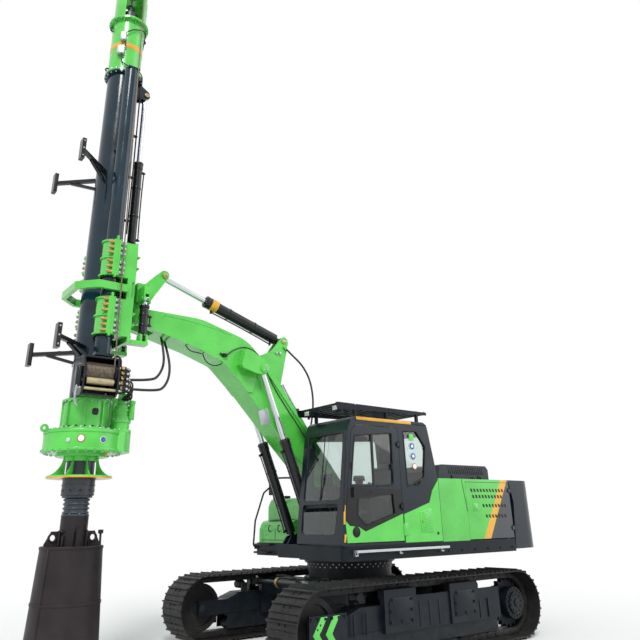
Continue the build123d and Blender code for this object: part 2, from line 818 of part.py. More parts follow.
def raked_pane(low, high, inset, outline):
    """Pane parallel to the line from low to high, cut to a YZ outline."""
    rake = (high[0] - low[0]) / (high[1] - low[1])
    z0 = low[1] - 300
    z1 = high[1] + 100
    x0 = low[0] + rake * (z0 - low[1]) - inset
    x1 = low[0] + rake * (z1 - low[1]) - inset
    sheet_outline = ((x0, z0), (x0 + glass_thickness, z0), (x1 + glass_thickness, z1), (x1, z1))
    pane = side_plate(sheet_outline, cab_right, cab_left)
    return pane & rounded_cross(outline, corner, cab_brow - 200, cab_nose + 1)


def cab_glass():
    """Fixed panes, each filling its own window."""
    nose_foot = (cab_nose, deck_top + 0.3)
    panes = [
        raked_pane(front_low, front_high, 22, windscreen),
        raked_pane(nose_foot, front_low, 22, lower_screen),
        side_window(rear_window, cab_left - 20, cab_left - 20 + glass_thickness),
        side_window(right_window, cab_right + 14, cab_right + 14 + glass_thickness),
    ]
    low = cab_profile[6]
    high = cab_profile[5]
    rake = (high[0] - low[0]) / (high[1] - low[1])
    x0 = low[0] + 24
    back = ((x0, low[1]), (x0 + glass_thickness, low[1]), (x0 + glass_thickness + rake * 640, low[1] + 640),
            (x0 + rake * 640, low[1] + 640))
    pane = side_plate(back, cab_right, cab_left) & rounded_cross(back_light, corner, -cab_rear - 1, -cab_rear + 250)
    return group(*panes, pane)


skin_proud = 10
sill_line = ((cab_nose - 62, 1598), (1137, 1540), (985, 1524), (869, 1466), (door_rear_edge + 8, 1678))
rear_sill_line = ((door_rear_edge - 18, 1672), (-377, 1823), (-455, 1990), (-cab_rear + 2, 2133))


def cab_door():
    """Door frame with two windows, a hinge tube at its rear edge and a grab handle."""
    door = rounded_plate(door_outline, door_radii, cab_left - door_thickness, cab_left)
    for outline in (upper_window, lower_window):
        door = door - side_window(outline, cab_left - door_thickness - 1, cab_left + 1)
    for z in hinge_levels:
        arm = block(hinge_x, hinge_x + 42, cab_left - 3, hinge_y + 5, z - hinge_half, z + hinge_half)
        door = door + arm + disc_z(11, hinge_x, hinge_y, z - hinge_half, z + hinge_half)
        door = door - disc_z(hinge_pin + seat, hinge_x, hinge_y, z - hinge_half - 1, z + hinge_half + 1)
    handle = block(1035, 1065, cab_left - 5, cab_left + 32, 1890, 2010)
    handle = handle - block(1030, 1070, cab_left, cab_left + 20, 1905, 1995)
    return door + handle


def door_skin():
    """Painted lower panel of the door."""
    outline = (
        (door_rear_edge + 8, panel_bottom + 26),
        (cab_nose - 82, panel_bottom + 26),
        *sill_line,
    )
    return side_plate(outline, cab_left, cab_left + skin_proud)


def cab_side_skin():
    """Painted panel behind the door with the louvred hatch."""
    outline = ((-cab_rear + 2, panel_bottom), (door_rear_edge - 18, panel_bottom), *rear_sill_line)
    skin = side_plate(outline, cab_left, cab_left + skin_proud)
    for index in range(8):
        z = 1690 - index * 33
        slot = ((-190, z), (-360, z + 42), (-360, z + 28), (-190, z - 14))
        skin = skin - side_plate(slot, cab_left + 3, cab_left + skin_proud + 1)
    return skin


def door_glass():
    """Both panes of the door, the upper one in two sliding halves with a centre bar."""
    y0 = cab_left - 24
    upper = side_window(upper_window, y0, y0 + glass_thickness)
    lower = side_window(lower_window, y0, y0 + glass_thickness)
    return group(upper, lower)


def cab_seat():
    """Seat with arm consoles and two levers, on the cab floor."""
    floor = deck_top + 0.3 + cab_wall
    middle = (cab_left + cab_right) / 2
    base = block(80, 480, middle - 190, middle + 190, floor, floor + 260)
    cushion = block(60, 560, middle - 240, middle + 240, floor + 260, floor + 380)
    back = side_plate(((70, floor + 330), (190, floor + 330), (60, floor + 1010), (-70, floor + 1010)),
                      middle - 230, middle + 230)
    head = side_plate(((-50, floor + 1010), (50, floor + 1010), (20, floor + 1180), (-80, floor + 1180)),
                      middle - 130, middle + 130)
    seat = fused(base, cushion, back, head)
    for side in (1, -1):
        y = middle + side * 300
        console = block(200, 620, y - 55, y + 55, floor, floor + 500)
        lever = disc_z(14, 560, y, floor + 500, floor + 660)
        knob = disc_z(26, 560, y, floor + 650, floor + 730)
        seat = seat + fused(console, lever, knob)
    column = block(880, 940, middle - 60, middle + 60, floor, floor + 420)
    return group(seat, column)


def roof_guard():
    """Slatted guard over the cab roof on six stubs."""
    y0 = cab_right + 5
    y1 = cab_left - 55
    rear = -cab_rear + 65
    front = cab_nose - 15
    side = (
        (rear, 3066),
        (cab_brow - 200, 3046),
        (front - 40, 3026),
        (front, 3118),
        (front - 30, 3130),
        (rear, 3108),
    )
    guard = side_plate(side, y0, y0 + 16) + side_plate(side, y1 - 16, y1)
    slat_count = 16
    for index in range(slat_count):
        x = rear + 10 + index * (front - 80 - rear) / (slat_count - 1)
        z = 3074 + 20 * (x - rear) / (front - rear)
        guard = guard + block(x, x + 34, y0 + 8, y1 - 8, z, z + 26)
    for x in (-340, 280, 880):
        for y in (y0, y1 - 40):
            guard = guard + block(x, x + 40, y, y + 40, cab_roof, 3080)
    return guard


# step: rear end, how far short of the deck's front, top edge, thickness, lug places
step_rear = -607
step_inset = 125
step_top = deck_bottom + 132
step_thickness = 30
step_lugs = (-560, 250, 1040)


def step_rail():
    """Slotted step along the lower left edge of the deck on three lugs."""
    y0 = deck_half_width
    rail = block(step_rear, deck_front - step_inset, y0 + 34, y0 + 110, step_top - step_thickness, step_top)
    for x in step_lugs:
        rail = rail + block(x, x + 50, y0, y0 + 40, step_top - 72, step_top - 12)
    return rail


def mirror_stay():
    """Bent hand rail and mirror arm at the front of the right side."""
    y = -deck_half_width + 50
    x = deck_front_right
    path = FilletPolyline((x, y, deck_top - 60), (x + 60, y, deck_top - 60), (x + 30, y, 1620),
                          (x - 130, y, 2050), (x - 190, y + 110, 2140), radius=45)
    ring = Plane(origin=path @ 0, z_dir=path % 0) * Circle(14)
    stay = sweep(ring, path=path)
    mirror_head = block(x - 215, x - 180, y + 80, y + 240, 2010, 2260)
    foot = block(x, x + 12, y - 45, y + 60, deck_top - 95, deck_top - 25)
    return fused(stay, mirror_head, foot)


# ---------------------------------------------------------------- boom and its cylinders
tip_top = boom_tip_z + boom_tip_radius
tip_low = boom_tip_z - boom_tip_radius
# boom outline from the foot along the back, round the tip and home along the belly: x, z, corner radius
boom_outline = (
    (boom_foot_x - 105, boom_foot_z + 90, 60),
    (1560, 3680, 900),
    (2020, 4120, 700),
    (2809, 4328, 900),
    (boom_tip_x - 300, tip_top, 0),
    (boom_tip_x, tip_top, 0),
    (boom_tip_x, tip_low, 0),
    (2870, 3905, 900),
    (2420, 3755, 260),
    (2110, 3480, 500),
    (1270, 2630, 900),
    (boom_foot_x + 110, boom_foot_z - 95, 60),
)
lift_foot = (lift_foot_x, lift_foot_z)
lift_eye = (lift_eye_x, lift_eye_z)
tilt_base = (tilt_base_x, tilt_base_z)
tilt_eye = (tilt_eye_x, tilt_eye_z)
tongue_half = 100
slot_half = tongue_half + 5
knee_x = 2040


valve_face = winch_rear - 150
# each hose: name, radius, route points (x, y, z)
hose_routes = (
    ("hose_boom_upper", 17, (
        (3330, 60, 4010), (3310, 130, 3800), (3340, 230, 3600), (3440, 330, 3430), (3570, 410, 3330),
        (valve_face - 30, 430, 3302))),
    ("hose_boom_lower", 17, (
        (3240, -20, 3980), (3190, 60, 3740), (3220, 180, 3490), (3330, 300, 3300), (3480, 390, 3200),
        (valve_face - 30, 420, 3190))),
    ("hose_tilt_left", 15, (
        (1225, 104, 4120), (1120, 135, 4020), (960, 160, 3890), (830, 180, 3680), (780, 190, 3430),
        (790, 200, 3190), (840, 205, 2960))),
)


def fitting(end, toward, radius):
    """Hose end fitting, from just behind the hose's end face back into what carries it."""
    back = Vector(*end) - Vector(*toward)
    step = back.normalized()
    return extrude(Plane(origin=Vector(*end) + step * seat, z_dir=step) * Circle(radius + 5), fitting_length)


def boom():
    """Box boom, wider beyond the knee, with foot boss, forked tip, cheeks and the tilt cylinder's ears."""
    outline = [(x, z) for x, z, _ in boom_outline]
    radii = [radius for _, _, radius in boom_outline]
    web = rounded_plate(outline, radii, -boom_half_width, boom_half_width)
    wide = rounded_plate(outline, radii, -boom_tip_half_width, boom_tip_half_width)
    beyond = ((knee_x - 130, 3360), (boom_tip_x + 200, 3360), (boom_tip_x + 200, 4600), (knee_x - 400, 4600),
              (lift_eye_x - 110, lift_eye_z + 120), (lift_eye_x + 40, lift_eye_z - 60))
    body = web + (wide & side_plate(beyond, -boom_tip_half_width - 1, boom_tip_half_width + 1))
    body = body + disc_y(boom_foot_radius, boom_foot_x, boom_foot_z, -boom_half_width, boom_half_width)
    body = body + disc_y(boom_tip_radius, boom_tip_x, boom_tip_z, -boom_tip_half_width, boom_tip_half_width)
    slot = block(boom_tip_x - 255, boom_tip_x + 200, -slot_half, slot_half, tip_low - 120, tip_top + 60)
    body = body - slot
    for _, radius, points in hose_routes:
        body = body + fitting(points[0], points[1], radius)
    _, radius, points = hose_routes[-1]
    body = body + fitting(points[-1], points[-2], radius)
    body = body - disc_y(boom_pin_radius + running_gap, boom_foot_x, boom_foot_z, -400, 400)
    # back flange strip of the narrow part
    strip = rounded_plate(outline, radii, -boom_tip_half_width, boom_tip_half_width)
    strip_zone = ((boom_foot_x + 220, 2130), (boom_foot_x + 120, 2230), (1420, 3780), (1610, 3620))
    body = body + (strip & side_plate(strip_zone, -boom_tip_half_width - 1, boom_tip_half_width + 1))
    for side in (1, -1):
        cheek = (
            (lift_eye_x - 95, lift_eye_z + 25),
            (lift_eye_x - 20, lift_eye_z + 130),
            (lift_eye_x + 330, lift_eye_z + 260),
            (lift_eye_x + 400, lift_eye_z - 20),
            (lift_eye_x + 120, lift_eye_z - 90),
            (lift_eye_x - 20, lift_eye_z - 100),
        )
        inner, outer = sorted((side * cheek_inner, side * (cheek_inner + cheek_plate)))
        body = body + rounded_plate(cheek, (60, 60, 40, 60, 60, 70), inner, outer)
        gusset = ((lift_eye_x + 130, lift_eye_z + 165), (lift_eye_x + 360, lift_eye_z + 240),
                  (lift_eye_x + 395, lift_eye_z + 20), (lift_eye_x + 240, lift_eye_z - 40))
        near, far = sorted((side * (boom_half_width - 2), side * (cheek_inner + 2)))
        body = body + side_plate(gusset, near, far)
        boss = sorted((side * (boom_half_width - 2), side * (lift_offset - eye_width / 2 - side_play)))
        body = body + disc_y(lift_pin_radius + 25, lift_eye_x, lift_eye_z, *boss)
        cap = sorted((side * (cheek_inner + cheek_plate - 2), side * (cheek_inner + cheek_plate + 16)))
        body = body + disc_y(78, lift_eye_x, lift_eye_z, *cap)
        ear = (
            (tilt_base_x - 88, tilt_base_z - 5),
            (tilt_base_x - 62, tilt_base_z + 62),
            (tilt_base_x, tilt_base_z + 88),
            (tilt_base_x + 88, tilt_base_z + 10),
            (tilt_base_x + 215, tilt_base_z - 175),
            (tilt_base_x + 400, tilt_base_z - 260),
            (tilt_base_x + 420, tilt_base_z - 420),
            (tilt_base_x + 90, tilt_base_z - 850),
        )
        near, far = sorted((side * (eye_width / 2 + side_play), side * (eye_width / 2 + side_play + 32)))
        body = body + rounded_plate(ear, (20, 50, 60, 50, 60, 0, 0, 0), near, far)
    ear_reach = eye_width / 2 + side_play + 44
    body = body + disc_y(tilt_pin_radius, tilt_base_x, tilt_base_z, -ear_reach, ear_reach)
    tip_pin = disc_y(boom_pin_radius, boom_tip_x, boom_tip_z, -boom_tip_half_width - 14, boom_tip_half_width + 14)
    return body + tip_pin


def cylinder_barrel(foot, head, length, radius, rod_radius, pin_radius, y):
    """Barrel from a foot eye towards head, bored for its rod."""
    mouth = along(foot, head, length)
    shoulder = along(foot, head, pin_radius + neck_length)
    barrel = bar_between(shoulder, mouth, radius, y) + bar_between(foot, shoulder, eye_width / 2 - 3, y)
    neck = bar_between(along(foot, head, length - 110), along(foot, head, length - 4), radius + gland_step, y)
    base = disc_y(pin_radius + 34, foot[0], foot[1], y - eye_width / 2, y + eye_width / 2)
    body = fused(barrel, neck, base)
    bore = bar_between(along(foot, head, pin_radius + neck_length + 30), along(foot, head, length + 5), rod_radius + running_gap, y)
    hole = disc_y(pin_radius + running_gap, foot[0], foot[1], y - eye_width, y + eye_width)
    return (body - bore) - hole


def cylinder_rod(foot, head, inside, rod_radius, pin_radius, y):
    """Rod with its eye and the pin in it; inside is the rod end's distance from the foot."""
    distance = hypot(head[0] - foot[0], head[1] - foot[1])
    rod = bar_between(along(foot, head, inside), along(foot, head, distance - pin_radius - 10), rod_radius, y)
    ring = disc_y(pin_radius + 32, head[0], head[1], y - eye_width / 2, y + eye_width / 2)
    return rod + ring


lift_rod_inside = 1130
tilt_rod_inside = 1127


def lift_barrels():
    """Barrels of the two boom cylinders."""
    barrel = cylinder_barrel(lift_foot, lift_eye, lift_barrel_length, lift_barrel_radius, lift_rod_radius,
                             lift_pin_radius, lift_offset)
    return group(*both_sides(barrel))


def lift_rods():
    """Rods of the two boom cylinders."""
    rod = cylinder_rod(lift_foot, lift_eye, lift_rod_inside, lift_rod_radius, lift_pin_radius, lift_offset)
    return group(*both_sides(rod))


def tilt_barrel():
    """Barrel of the mast tilt cylinder."""
    return cylinder_barrel(tilt_base, tilt_eye, tilt_barrel_length, tilt_barrel_radius, tilt_rod_radius,
                           tilt_pin_radius, 0)


def tilt_rod():
    """Rod of the mast tilt cylinder."""
    return cylinder_rod(tilt_base, tilt_eye, tilt_rod_inside, tilt_rod_radius, tilt_pin_radius, 0)


# ---------------------------------------------------------------- mast head block and carriage
lever_inner = eye_width / 2 + side_play
roll_eye_width = 48
roll_pin = 26


def pitch_block():
    """Tilting block: two lever plates, the body with its slew disc and the upper roll cylinder lugs."""
    lever = (
        (tilt_eye_x - 82, tilt_eye_z + 10),
        (tilt_eye_x - 45, tilt_eye_z + 72),
        (tilt_eye_x + 30, tilt_eye_z + 78),
        (block_rear + 70, block_top + 20),
        (block_front, block_top),
        (block_front, block_bottom - 30),
        (boom_tip_x + 95, boom_tip_z + 20),
        (boom_tip_x + 60, boom_tip_z - 84),
        (boom_tip_x - 60, boom_tip_z - 84),
        (boom_tip_x - 104, boom_tip_z + 30),
        (boom_tip_x - 150, boom_tip_z + 130),
        (boom_tip_x - 150, block_bottom + 40),
    )
    radii = (60, 50, 60, 0, 0, 0, 40, 70, 70, 40, 40, 40)
    body = block(block_rear, block_front, -block_half_width, block_half_width, block_bottom, block_top)
    body = body + disc_x(150, 0, roll_z, block_front - 1, carriage_back - 2)
    for side in (1, -1):
        inner, outer = sorted((side * lever_inner, side * tongue_half))
        body = body + rounded_plate(lever, radii, inner, outer)
        reach = sorted((side * (block_half_width - 5), side * (roll_eye_offset + 70)))
        for x0, x1 in ((-48, -roll_eye_width / 2 - side_play), (roll_eye_width / 2 + side_play, 48)):
            body = body + block(roll_cylinder_x + x0, roll_cylinder_x + x1, *reach, roll_eye_z - 45, roll_eye_z + 55)
        cross = sorted((side * (block_half_width - 5), side * (roll_eye_offset + 70)))
        body = body + block(roll_cylinder_x - 48, roll_cylinder_x + 48, *cross, roll_eye_z + 50, block_top - 90)
        for x0, x1 in ((-56, -47), (47, 56)):
            body = body + disc_x(roll_pin, side * roll_eye_offset, roll_eye_z, roll_cylinder_x + x0,
                                 roll_cylinder_x + x1)
        cap = sorted((side * (tongue_half - 2), side * (tongue_half + 14)))
        body = body + disc_y(tilt_pin_radius + 8, tilt_eye_x, tilt_eye_z, *cap)
    body = body - disc_y(boom_pin_radius + running_gap, boom_tip_x, boom_tip_z, -400, 400)
    return body + disc_x(roll_pin_radius, 0, roll_z, block_front - 1, carriage_back + carriage_plate + 10)


def roll_barrel(side):
    """Barrel of a roll cylinder, its foot pin on the carriage."""
    y = side * roll_eye_offset
    x = roll_cylinder_x
    barrel = disc_z(roll_barrel_radius, x, y, roll_foot_z + 60, roll_eye_z - 95)
    barrel = barrel + disc_z(roll_eye_width / 2 - 2, x, y, roll_foot_z + 30, roll_foot_z + 61)
    foot = disc_x(44, y, roll_foot_z, x - roll_eye_width / 2, x + roll_eye_width / 2)
    body = barrel + foot
    body = body - disc_z(roll_rod_radius + running_gap, x, y, roll_foot_z + 100, roll_eye_z)
    return body - disc_x(roll_pin + running_gap, y, roll_foot_z, x - 60, x + 60)


def roll_rod(side):
    """Rod of a roll cylinder with its eye on the tilting block."""
    y = side * roll_eye_offset
    x = roll_cylinder_x
    rod = disc_z(roll_rod_radius, x, y, roll_foot_z + 160, roll_eye_z - 55)
    rod = rod + disc_z(roll_eye_width / 2 - 2, x, y, roll_eye_z - 56, roll_eye_z - 30)
    ring = disc_x(42, y, roll_eye_z, x - roll_eye_width / 2, x + roll_eye_width / 2)
    return rod + ring


cradle_outer = guide_offset + guide_radius + 26
lug_reach = cradle_outer + 48
bar_rear = mast_x - 15
bar_front = mast_x + 15
tube_clearance = 8
crowd_ear_inner = eye_width / 2 + side_play


def carriage():
    """Back plate with cradles round the guide tubes, side strips, brackets and the crowd ears."""
    front = carriage_back + carriage_plate
    body = block(carriage_back, front, -cradle_outer, cradle_outer, carriage_bottom, carriage_top)
    body = body - block(carriage_back - 1, front + 1, -cradle_outer - 1, -cradle_outer + 90, clamp_zones[0][1] + 40,
                        clamp_zones[1][0] - 40)
    body = body - block(carriage_back - 1, front + 1, cradle_outer - 90, cradle_outer + 1, clamp_zones[0][1] + 40,
                        clamp_zones[1][0] - 40)
    for side in (1, -1):
        for low, high in clamp_zones:
            span = sorted((side * (mast_radius - 40), side * cradle_outer))
            cradle = block(front - 1, bar_rear, *span, low, high)
            lug = sorted((side * (cradle_outer - 1), side * lug_reach))
            cradle = cradle + block(bar_rear - 30, bar_rear, *lug, low, high)
            body = body + cradle
        strip = sorted((side * (cradle_outer - 40), side * cradle_outer))
        body = body + block(front - 1, front + 60, *strip, clamp_zones[0][1] - 1, clamp_zones[1][0] + 1)
        body = body - disc_z(guide_radius + guide_fit, mast_x, side * guide_offset, carriage_bottom - 1,
                             carriage_top + 1)
        reach = sorted((side * (roll_eye_offset - 60), side * (roll_eye_offset + 70)))
        body = body + block(roll_cylinder_x - 60, carriage_back + 1, *reach, carriage_bottom, carriage_bottom + 50)
        for x0, x1 in ((-52, -roll_eye_width / 2 - side_play), (roll_eye_width / 2 + side_play, 52)):
            body = body + block(roll_cylinder_x + x0, roll_cylinder_x + x1, *reach, carriage_bottom + 49,
                                roll_foot_z + 42)
        body = body + disc_x(roll_pin, side * roll_eye_offset, roll_foot_z, roll_cylinder_x - 58,
                             roll_cylinder_x + 58)
        ear = ((carriage_back + 1, carriage_top - 120), (carriage_back + 1, crowd_foot_z + 20),
               (crowd_x + 30, crowd_foot_z + 72), (crowd_x - 66, crowd_foot_z + 60),
               (crowd_x - 70, crowd_foot_z - 40))
        inner, outer = sorted((side * crowd_ear_inner, side * (crowd_ear_inner + 24)))
        body = body + rounded_plate(ear, (0, 10, 50, 50, 40), inner, outer)
    body = body + block(carriage_back, front, -crowd_ear_inner - 24, crowd_ear_inner + 24, carriage_top - 10,
                        crowd_foot_z + 10)
    body = body + disc_y(tilt_pin_radius - 8, crowd_x, crowd_foot_z, -crowd_ear_inner - 34, crowd_ear_inner + 34)
    body = body - disc_z(mast_radius + tube_clearance, mast_x, 0, carriage_bottom - 1, carriage_top + 200)
    return body - disc_x(roll_pin_radius + running_gap, 0, roll_z, carriage_back - 1, front + 1)


def clamp_jaws():
    """Front jaws with ribs and clamp bars, and the strap bar bent round the mast."""
    shapes = []
    for low, high in clamp_zones:
        jaw = disc_z(guide_radius + 30, mast_x, guide_offset, low, high)
        for z in (low, low + (high - low) / 2 - 10, high - 20):
            jaw = jaw + disc_z(guide_radius + 52, mast_x, guide_offset, z, z + 20)
        jaw = jaw - block(mast_x - 400, bar_front, 0, 900, low - 1, high + 1)
        lug = block(bar_front, bar_front + 30, guide_offset + guide_radius + 10, lug_reach, low, high)
        bar = block(bar_rear, bar_front, cradle_outer + 4, lug_reach - 4, low - 25, high + 55)
        jaw = fused(jaw, lug, bar)
        jaw = jaw - disc_z(guide_radius + guide_fit, mast_x, guide_offset, low - 50, high + 60)
        jaw = jaw - disc_z(mast_radius + tube_clearance, mast_x, 0, low - 50, high + 60)
        shapes += both_sides(jaw)
    inner = cradle_outer - 12
    outer = inner + strap_bar
    rear = carriage_back + carriage_plate + 60 + seat
    reach = mast_x + strap_reach
    strap = (
        (rear, inner),
        (rear, outer),
        (mast_x + 190, outer),
        (reach, outer - 250),
        (reach, 250 - outer),
        (mast_x + 190, -outer),
        (rear, -outer),
        (rear, -inner),
        (mast_x + 165, -inner),
        (reach - strap_bar, 275 - outer),
        (reach - strap_bar, outer - 275),
        (mast_x + 165, inner),
    )
    shapes.append(floor_plate(strap, strap_z - strap_height / 2, strap_z + strap_height / 2))
    return group(*shapes)


def crowd_barrel():
    """Barrel of the crowd cylinder, upright behind the mast."""
    return cylinder_barrel((crowd_x, crowd_foot_z), (crowd_x, crowd_eye_z), crowd_barrel_top - crowd_foot_z,
                           crowd_barrel_radius, crowd_rod_radius, tilt_pin_radius - 8, 0)


def crowd_rod():
    """Rod of the crowd cylinder, pinned to the mast's rear bracket."""
    pin_radius = tilt_pin_radius - 8
    rod = cylinder_rod((crowd_x, crowd_foot_z), (crowd_x, crowd_eye_z), crowd_barrel_top - crowd_foot_z - 120,
                       crowd_rod_radius, pin_radius, 0)
    return rod - disc_y(pin_radius + running_gap, crowd_x, crowd_eye_z, -eye_width, eye_width)


# ---------------------------------------------------------------- mast
def pipe_z(radius, bore, x, y, z0, z1):
    """Upright tube."""
    return disc_z(radius, x, y, z0, z1) - disc_z(bore, x, y, z0 - 1, z1 + 1)


def mast_tube():
    """Main tube with its foot plates, both guide tubes and the crowd bracket."""
    bore = mast_radius - mast_wall
    tube = pipe_z(mast_radius, bore, mast_x, 0, mast_bottom, mast_joint - flange_plate)
    tube = tube + pipe_z(lower_flange_radius, bore, mast_x, 0, mast_joint - flange_plate - 1, mast_joint)
    top = mast_joint - flange_plate
    for side in (1, -1):
        guide = disc_z(guide_radius, mast_x, side * guide_offset, guide_bottom, top)
        span = sorted((side * (mast_radius - 8), side * (guide_offset + guide_radius)))
        foot = block(mast_x - 120, mast_x + 120, *span, guide_bottom - 30, guide_bottom + 1)
        cap = block(mast_x - 90, mast_x + 90, *span, top - 30, top)
        tube = tube + guide + foot + cap
        ear = ((crowd_x - 62, crowd_eye_z - 40), (crowd_x - 40, crowd_eye_z + 66), (mast_x - mast_radius + 30,
               crowd_eye_z + 190), (mast_x - mast_radius + 30, crowd_eye_z - 120), (crowd_x, crowd_eye_z - 70))
        inner, outer = sorted((side * crowd_ear_inner, side * (crowd_ear_inner + 22)))
        tube = tube + rounded_plate(ear, (40, 50, 0, 0, 40), inner, outer)
    tube = tube + disc_y(tilt_pin_radius - 8, crowd_x, crowd_eye_z, -crowd_ear_inner - 32, crowd_ear_inner + 32)
    tube = tube - disc_y(48, mast_x + 20, 7070, 0, 400)
    return tube - disc_z(bore, mast_x, 0, mast_bottom - 1, mast_joint + 1)


sheave_y = sheave_radius
cheek_half = sheave_width / 2 + 6


def mast_head():
    """Top tube between two flanges, the windowed fork tube and the cheeks of the rope sheave."""
    bore = top_tube_radius - mast_wall
    head = pipe_z(top_tube_radius, bore, mast_x, 0, mast_joint, fork_bottom)
    head = head + pipe_z(lower_flange_radius, bore, mast_x, 0, mast_joint, mast_joint + flange_plate)
    head = head + pipe_z(upper_flange_radius, bore, mast_x, 0, fork_bottom - flange_plate, fork_bottom)
    fork = pipe_z(top_tube_radius, bore, mast_x, 0, fork_bottom - 1, fork_top)
    window = block(mast_x - 130, mast_x + 150, -400, 400, fork_bottom + 60, fork_top - 40)
    fork = fork - window
    lid = disc_z(top_tube_radius, mast_x, 0, fork_top, fork_top + 24) - disc_z(60, mast_x, 0, fork_top - 1,
                                                                              fork_top + 25)
    head = fused(head, fork, lid)
    head = head - block(mast_x - cheek_half, mast_x + cheek_half, -20, sheave_y + 60,
                        sheave_z - sheave_radius - 25, fork_top + 25)
    cheek = (
        (-170, fork_top + 20),
        (215, fork_top + 20),
        (sheave_y + 90, sheave_z - 40),
        (sheave_y + 70, sheave_z + 70),
        (sheave_y - 40, sheave_z + 90),
        (-120, sheave_z - 20),
    )
    for x0, x1 in ((-cheek_half - 18, -cheek_half), (cheek_half, cheek_half + 18)):
        head = head + cross_plate(cheek, mast_x + x0, mast_x + x1)
    return head + disc_x(34, sheave_y, sheave_z, mast_x - cheek_half - 26, mast_x + cheek_half + 26)


def top_sheave():
    """Grooved rope sheave."""
    wheel = disc_x(sheave_radius + 14, sheave_y, sheave_z, mast_x - sheave_width / 2, mast_x + sheave_width / 2)
    groove = Pos(mast_x, sheave_y, sheave_z) * Rot(0, 90, 0) * Torus(sheave_radius, rope_radius + 1)
    rim = disc_x(sheave_radius + 16, sheave_y, sheave_z, mast_x - rope_radius - 8, mast_x + rope_radius + 8)
    rim = rim - disc_x(sheave_radius, sheave_y, sheave_z, mast_x - sheave_width, mast_x + sheave_width)
    wheel = (wheel - rim) - groove
    for offset_x in (-1, 1):
        web = disc_x(sheave_radius - 40, sheave_y, sheave_z, mast_x + offset_x * 18, mast_x + offset_x * 40)
        web = web - disc_x(80, sheave_y, sheave_z, mast_x + offset_x * 17, mast_x + offset_x * 41)
        wheel = wheel - web
    return wheel - disc_x(34 + running_gap, sheave_y, sheave_z, mast_x - 90, mast_x + 90)


def rest_arms():
    """Two pairs of stand-off arms with upright bars and a diagonal brace."""
    shapes = []
    half = rest_bar / 2
    angle = atan2(rest_spread, rest_reach)
    for level in rest_levels:
        start = (mast_x + (mast_radius + 0.3) * cos(angle), (mast_radius + 0.3) * sin(angle))
        end = (mast_x + rest_reach, rest_spread)
        normal = (-sin(angle) * half, cos(angle) * half)
        arm = floor_plate(
            ((start[0] - normal[0], start[1] - normal[1]), (end[0] - normal[0], end[1] - normal[1]),
             (end[0] + normal[0], end[1] + normal[1]), (start[0] + normal[0], start[1] + normal[1])),
            level - half, level + half)
        foot = block(end[0] - half, end[0] + half, end[1] - 55, end[1] + 55, level - rest_foot_height / 2,
                     level + rest_foot_height / 2)
        brace_low = (start[0] + 20 * cos(angle), start[1] + 20 * sin(angle), level - 135)
        brace_high = (mast_x + rest_reach * 0.72, rest_spread * 0.72, level - 20)
        run = Vector(*brace_high) - Vector(*brace_low)
        brace = extrude(Plane(origin=brace_low, z_dir=run) * Rectangle(40, 40), run.length)
        arm = fused(arm, foot, brace)
        arm = arm - disc_z(mast_radius + 0.3, mast_x, 0, level - 400, level + 400)
        shapes += both_sides(arm)
    return group(*shapes)


# ---------------------------------------------------------------- winch
drum_half = (winch_front - winch_rear) / 2 - winch_plate - 4
drum_x = (winch_front + winch_rear) / 2
roller_y = drum_y + 122
roller_z_pos = drum_z - 122


def winch_frame():
    """Winch side plates, top and bottom plates, saddle, pressure roller, rods and the valve block."""
    saddle_face = mast_radius + 6
    shapes = []
    plate = (
        (saddle_face, winch_bottom + 80),
        (saddle_face, winch_top),
        (drum_y + 130, winch_top),
        (winch_outer, drum_z + 30),
        (winch_outer, winch_bottom + 60),
        (winch_outer - 60, winch_bottom),
        (saddle_face + 120, winch_bottom),
    )
    frame = cross_plate(plate, winch_rear, winch_rear + winch_plate)
    frame = frame + cross_plate(plate, winch_front - winch_plate, winch_front)
    frame = frame + block(winch_rear, winch_front, saddle_face, saddle_face + 8, winch_bottom + 90, winch_top - 10)
    frame = frame + block(winch_rear, winch_front, saddle_face, drum_y + 120, winch_top - 19, winch_top)
    floor = block(winch_rear, winch_front, saddle_face + 125, winch_outer - 65, winch_bottom, winch_bottom + 20)
    frame = frame + floor
    saddle = block(mast_x - 120, mast_x + 120, mast_radius - 60, saddle_face + 1, winch_bottom + 60, winch_top - 30)
    saddle = saddle - disc_z(mast_radius + 0.3, mast_x, 0, mast_bottom, guide_bottom)
    frame = frame + saddle
    roller = disc_x(pressure_roller_radius, roller_y, roller_z_pos, winch_rear + 52, winch_front - 52)
    axle = disc_x(9, roller_y, roller_z_pos, winch_rear + winch_plate, winch_front - winch_plate)
    shapes.append(roller + axle)
    shapes.append(disc_x(16, winch_outer - 36, winch_bottom + 76, winch_rear + winch_plate,
                         winch_front - winch_plate))
    valve = block(valve_face, winch_rear, drum_y - 90, drum_y + 110, winch_bottom + 80, drum_z + 60)
    for index in range(4):
        z = winch_bottom + 120 + index * 70
        valve = valve + disc_y(22, winch_rear - 75, z, drum_y + 109, drum_y + 150)
    for index in range(3):
        valve = valve + disc_z(16, winch_rear - 115 + index * 42, drum_y + 40, drum_z + 59, drum_z + 110)
    spring_case = disc_z(34, winch_front + 33, winch_outer - 60, drum_z - 200, drum_z + 40)
    frame = frame + valve + spring_case
    for _, radius, points in hose_routes[:2]:
        frame = frame + fitting(points[-1], points[-2], radius)
    frame = frame - disc_x(42 + running_gap, drum_y, drum_z, winch_rear - 1, winch_rear + winch_plate + 1)
    frame = frame - disc_x(42 + running_gap, drum_y, drum_z, winch_front - winch_plate - 1, winch_front + 1)
    return group(frame, *shapes)


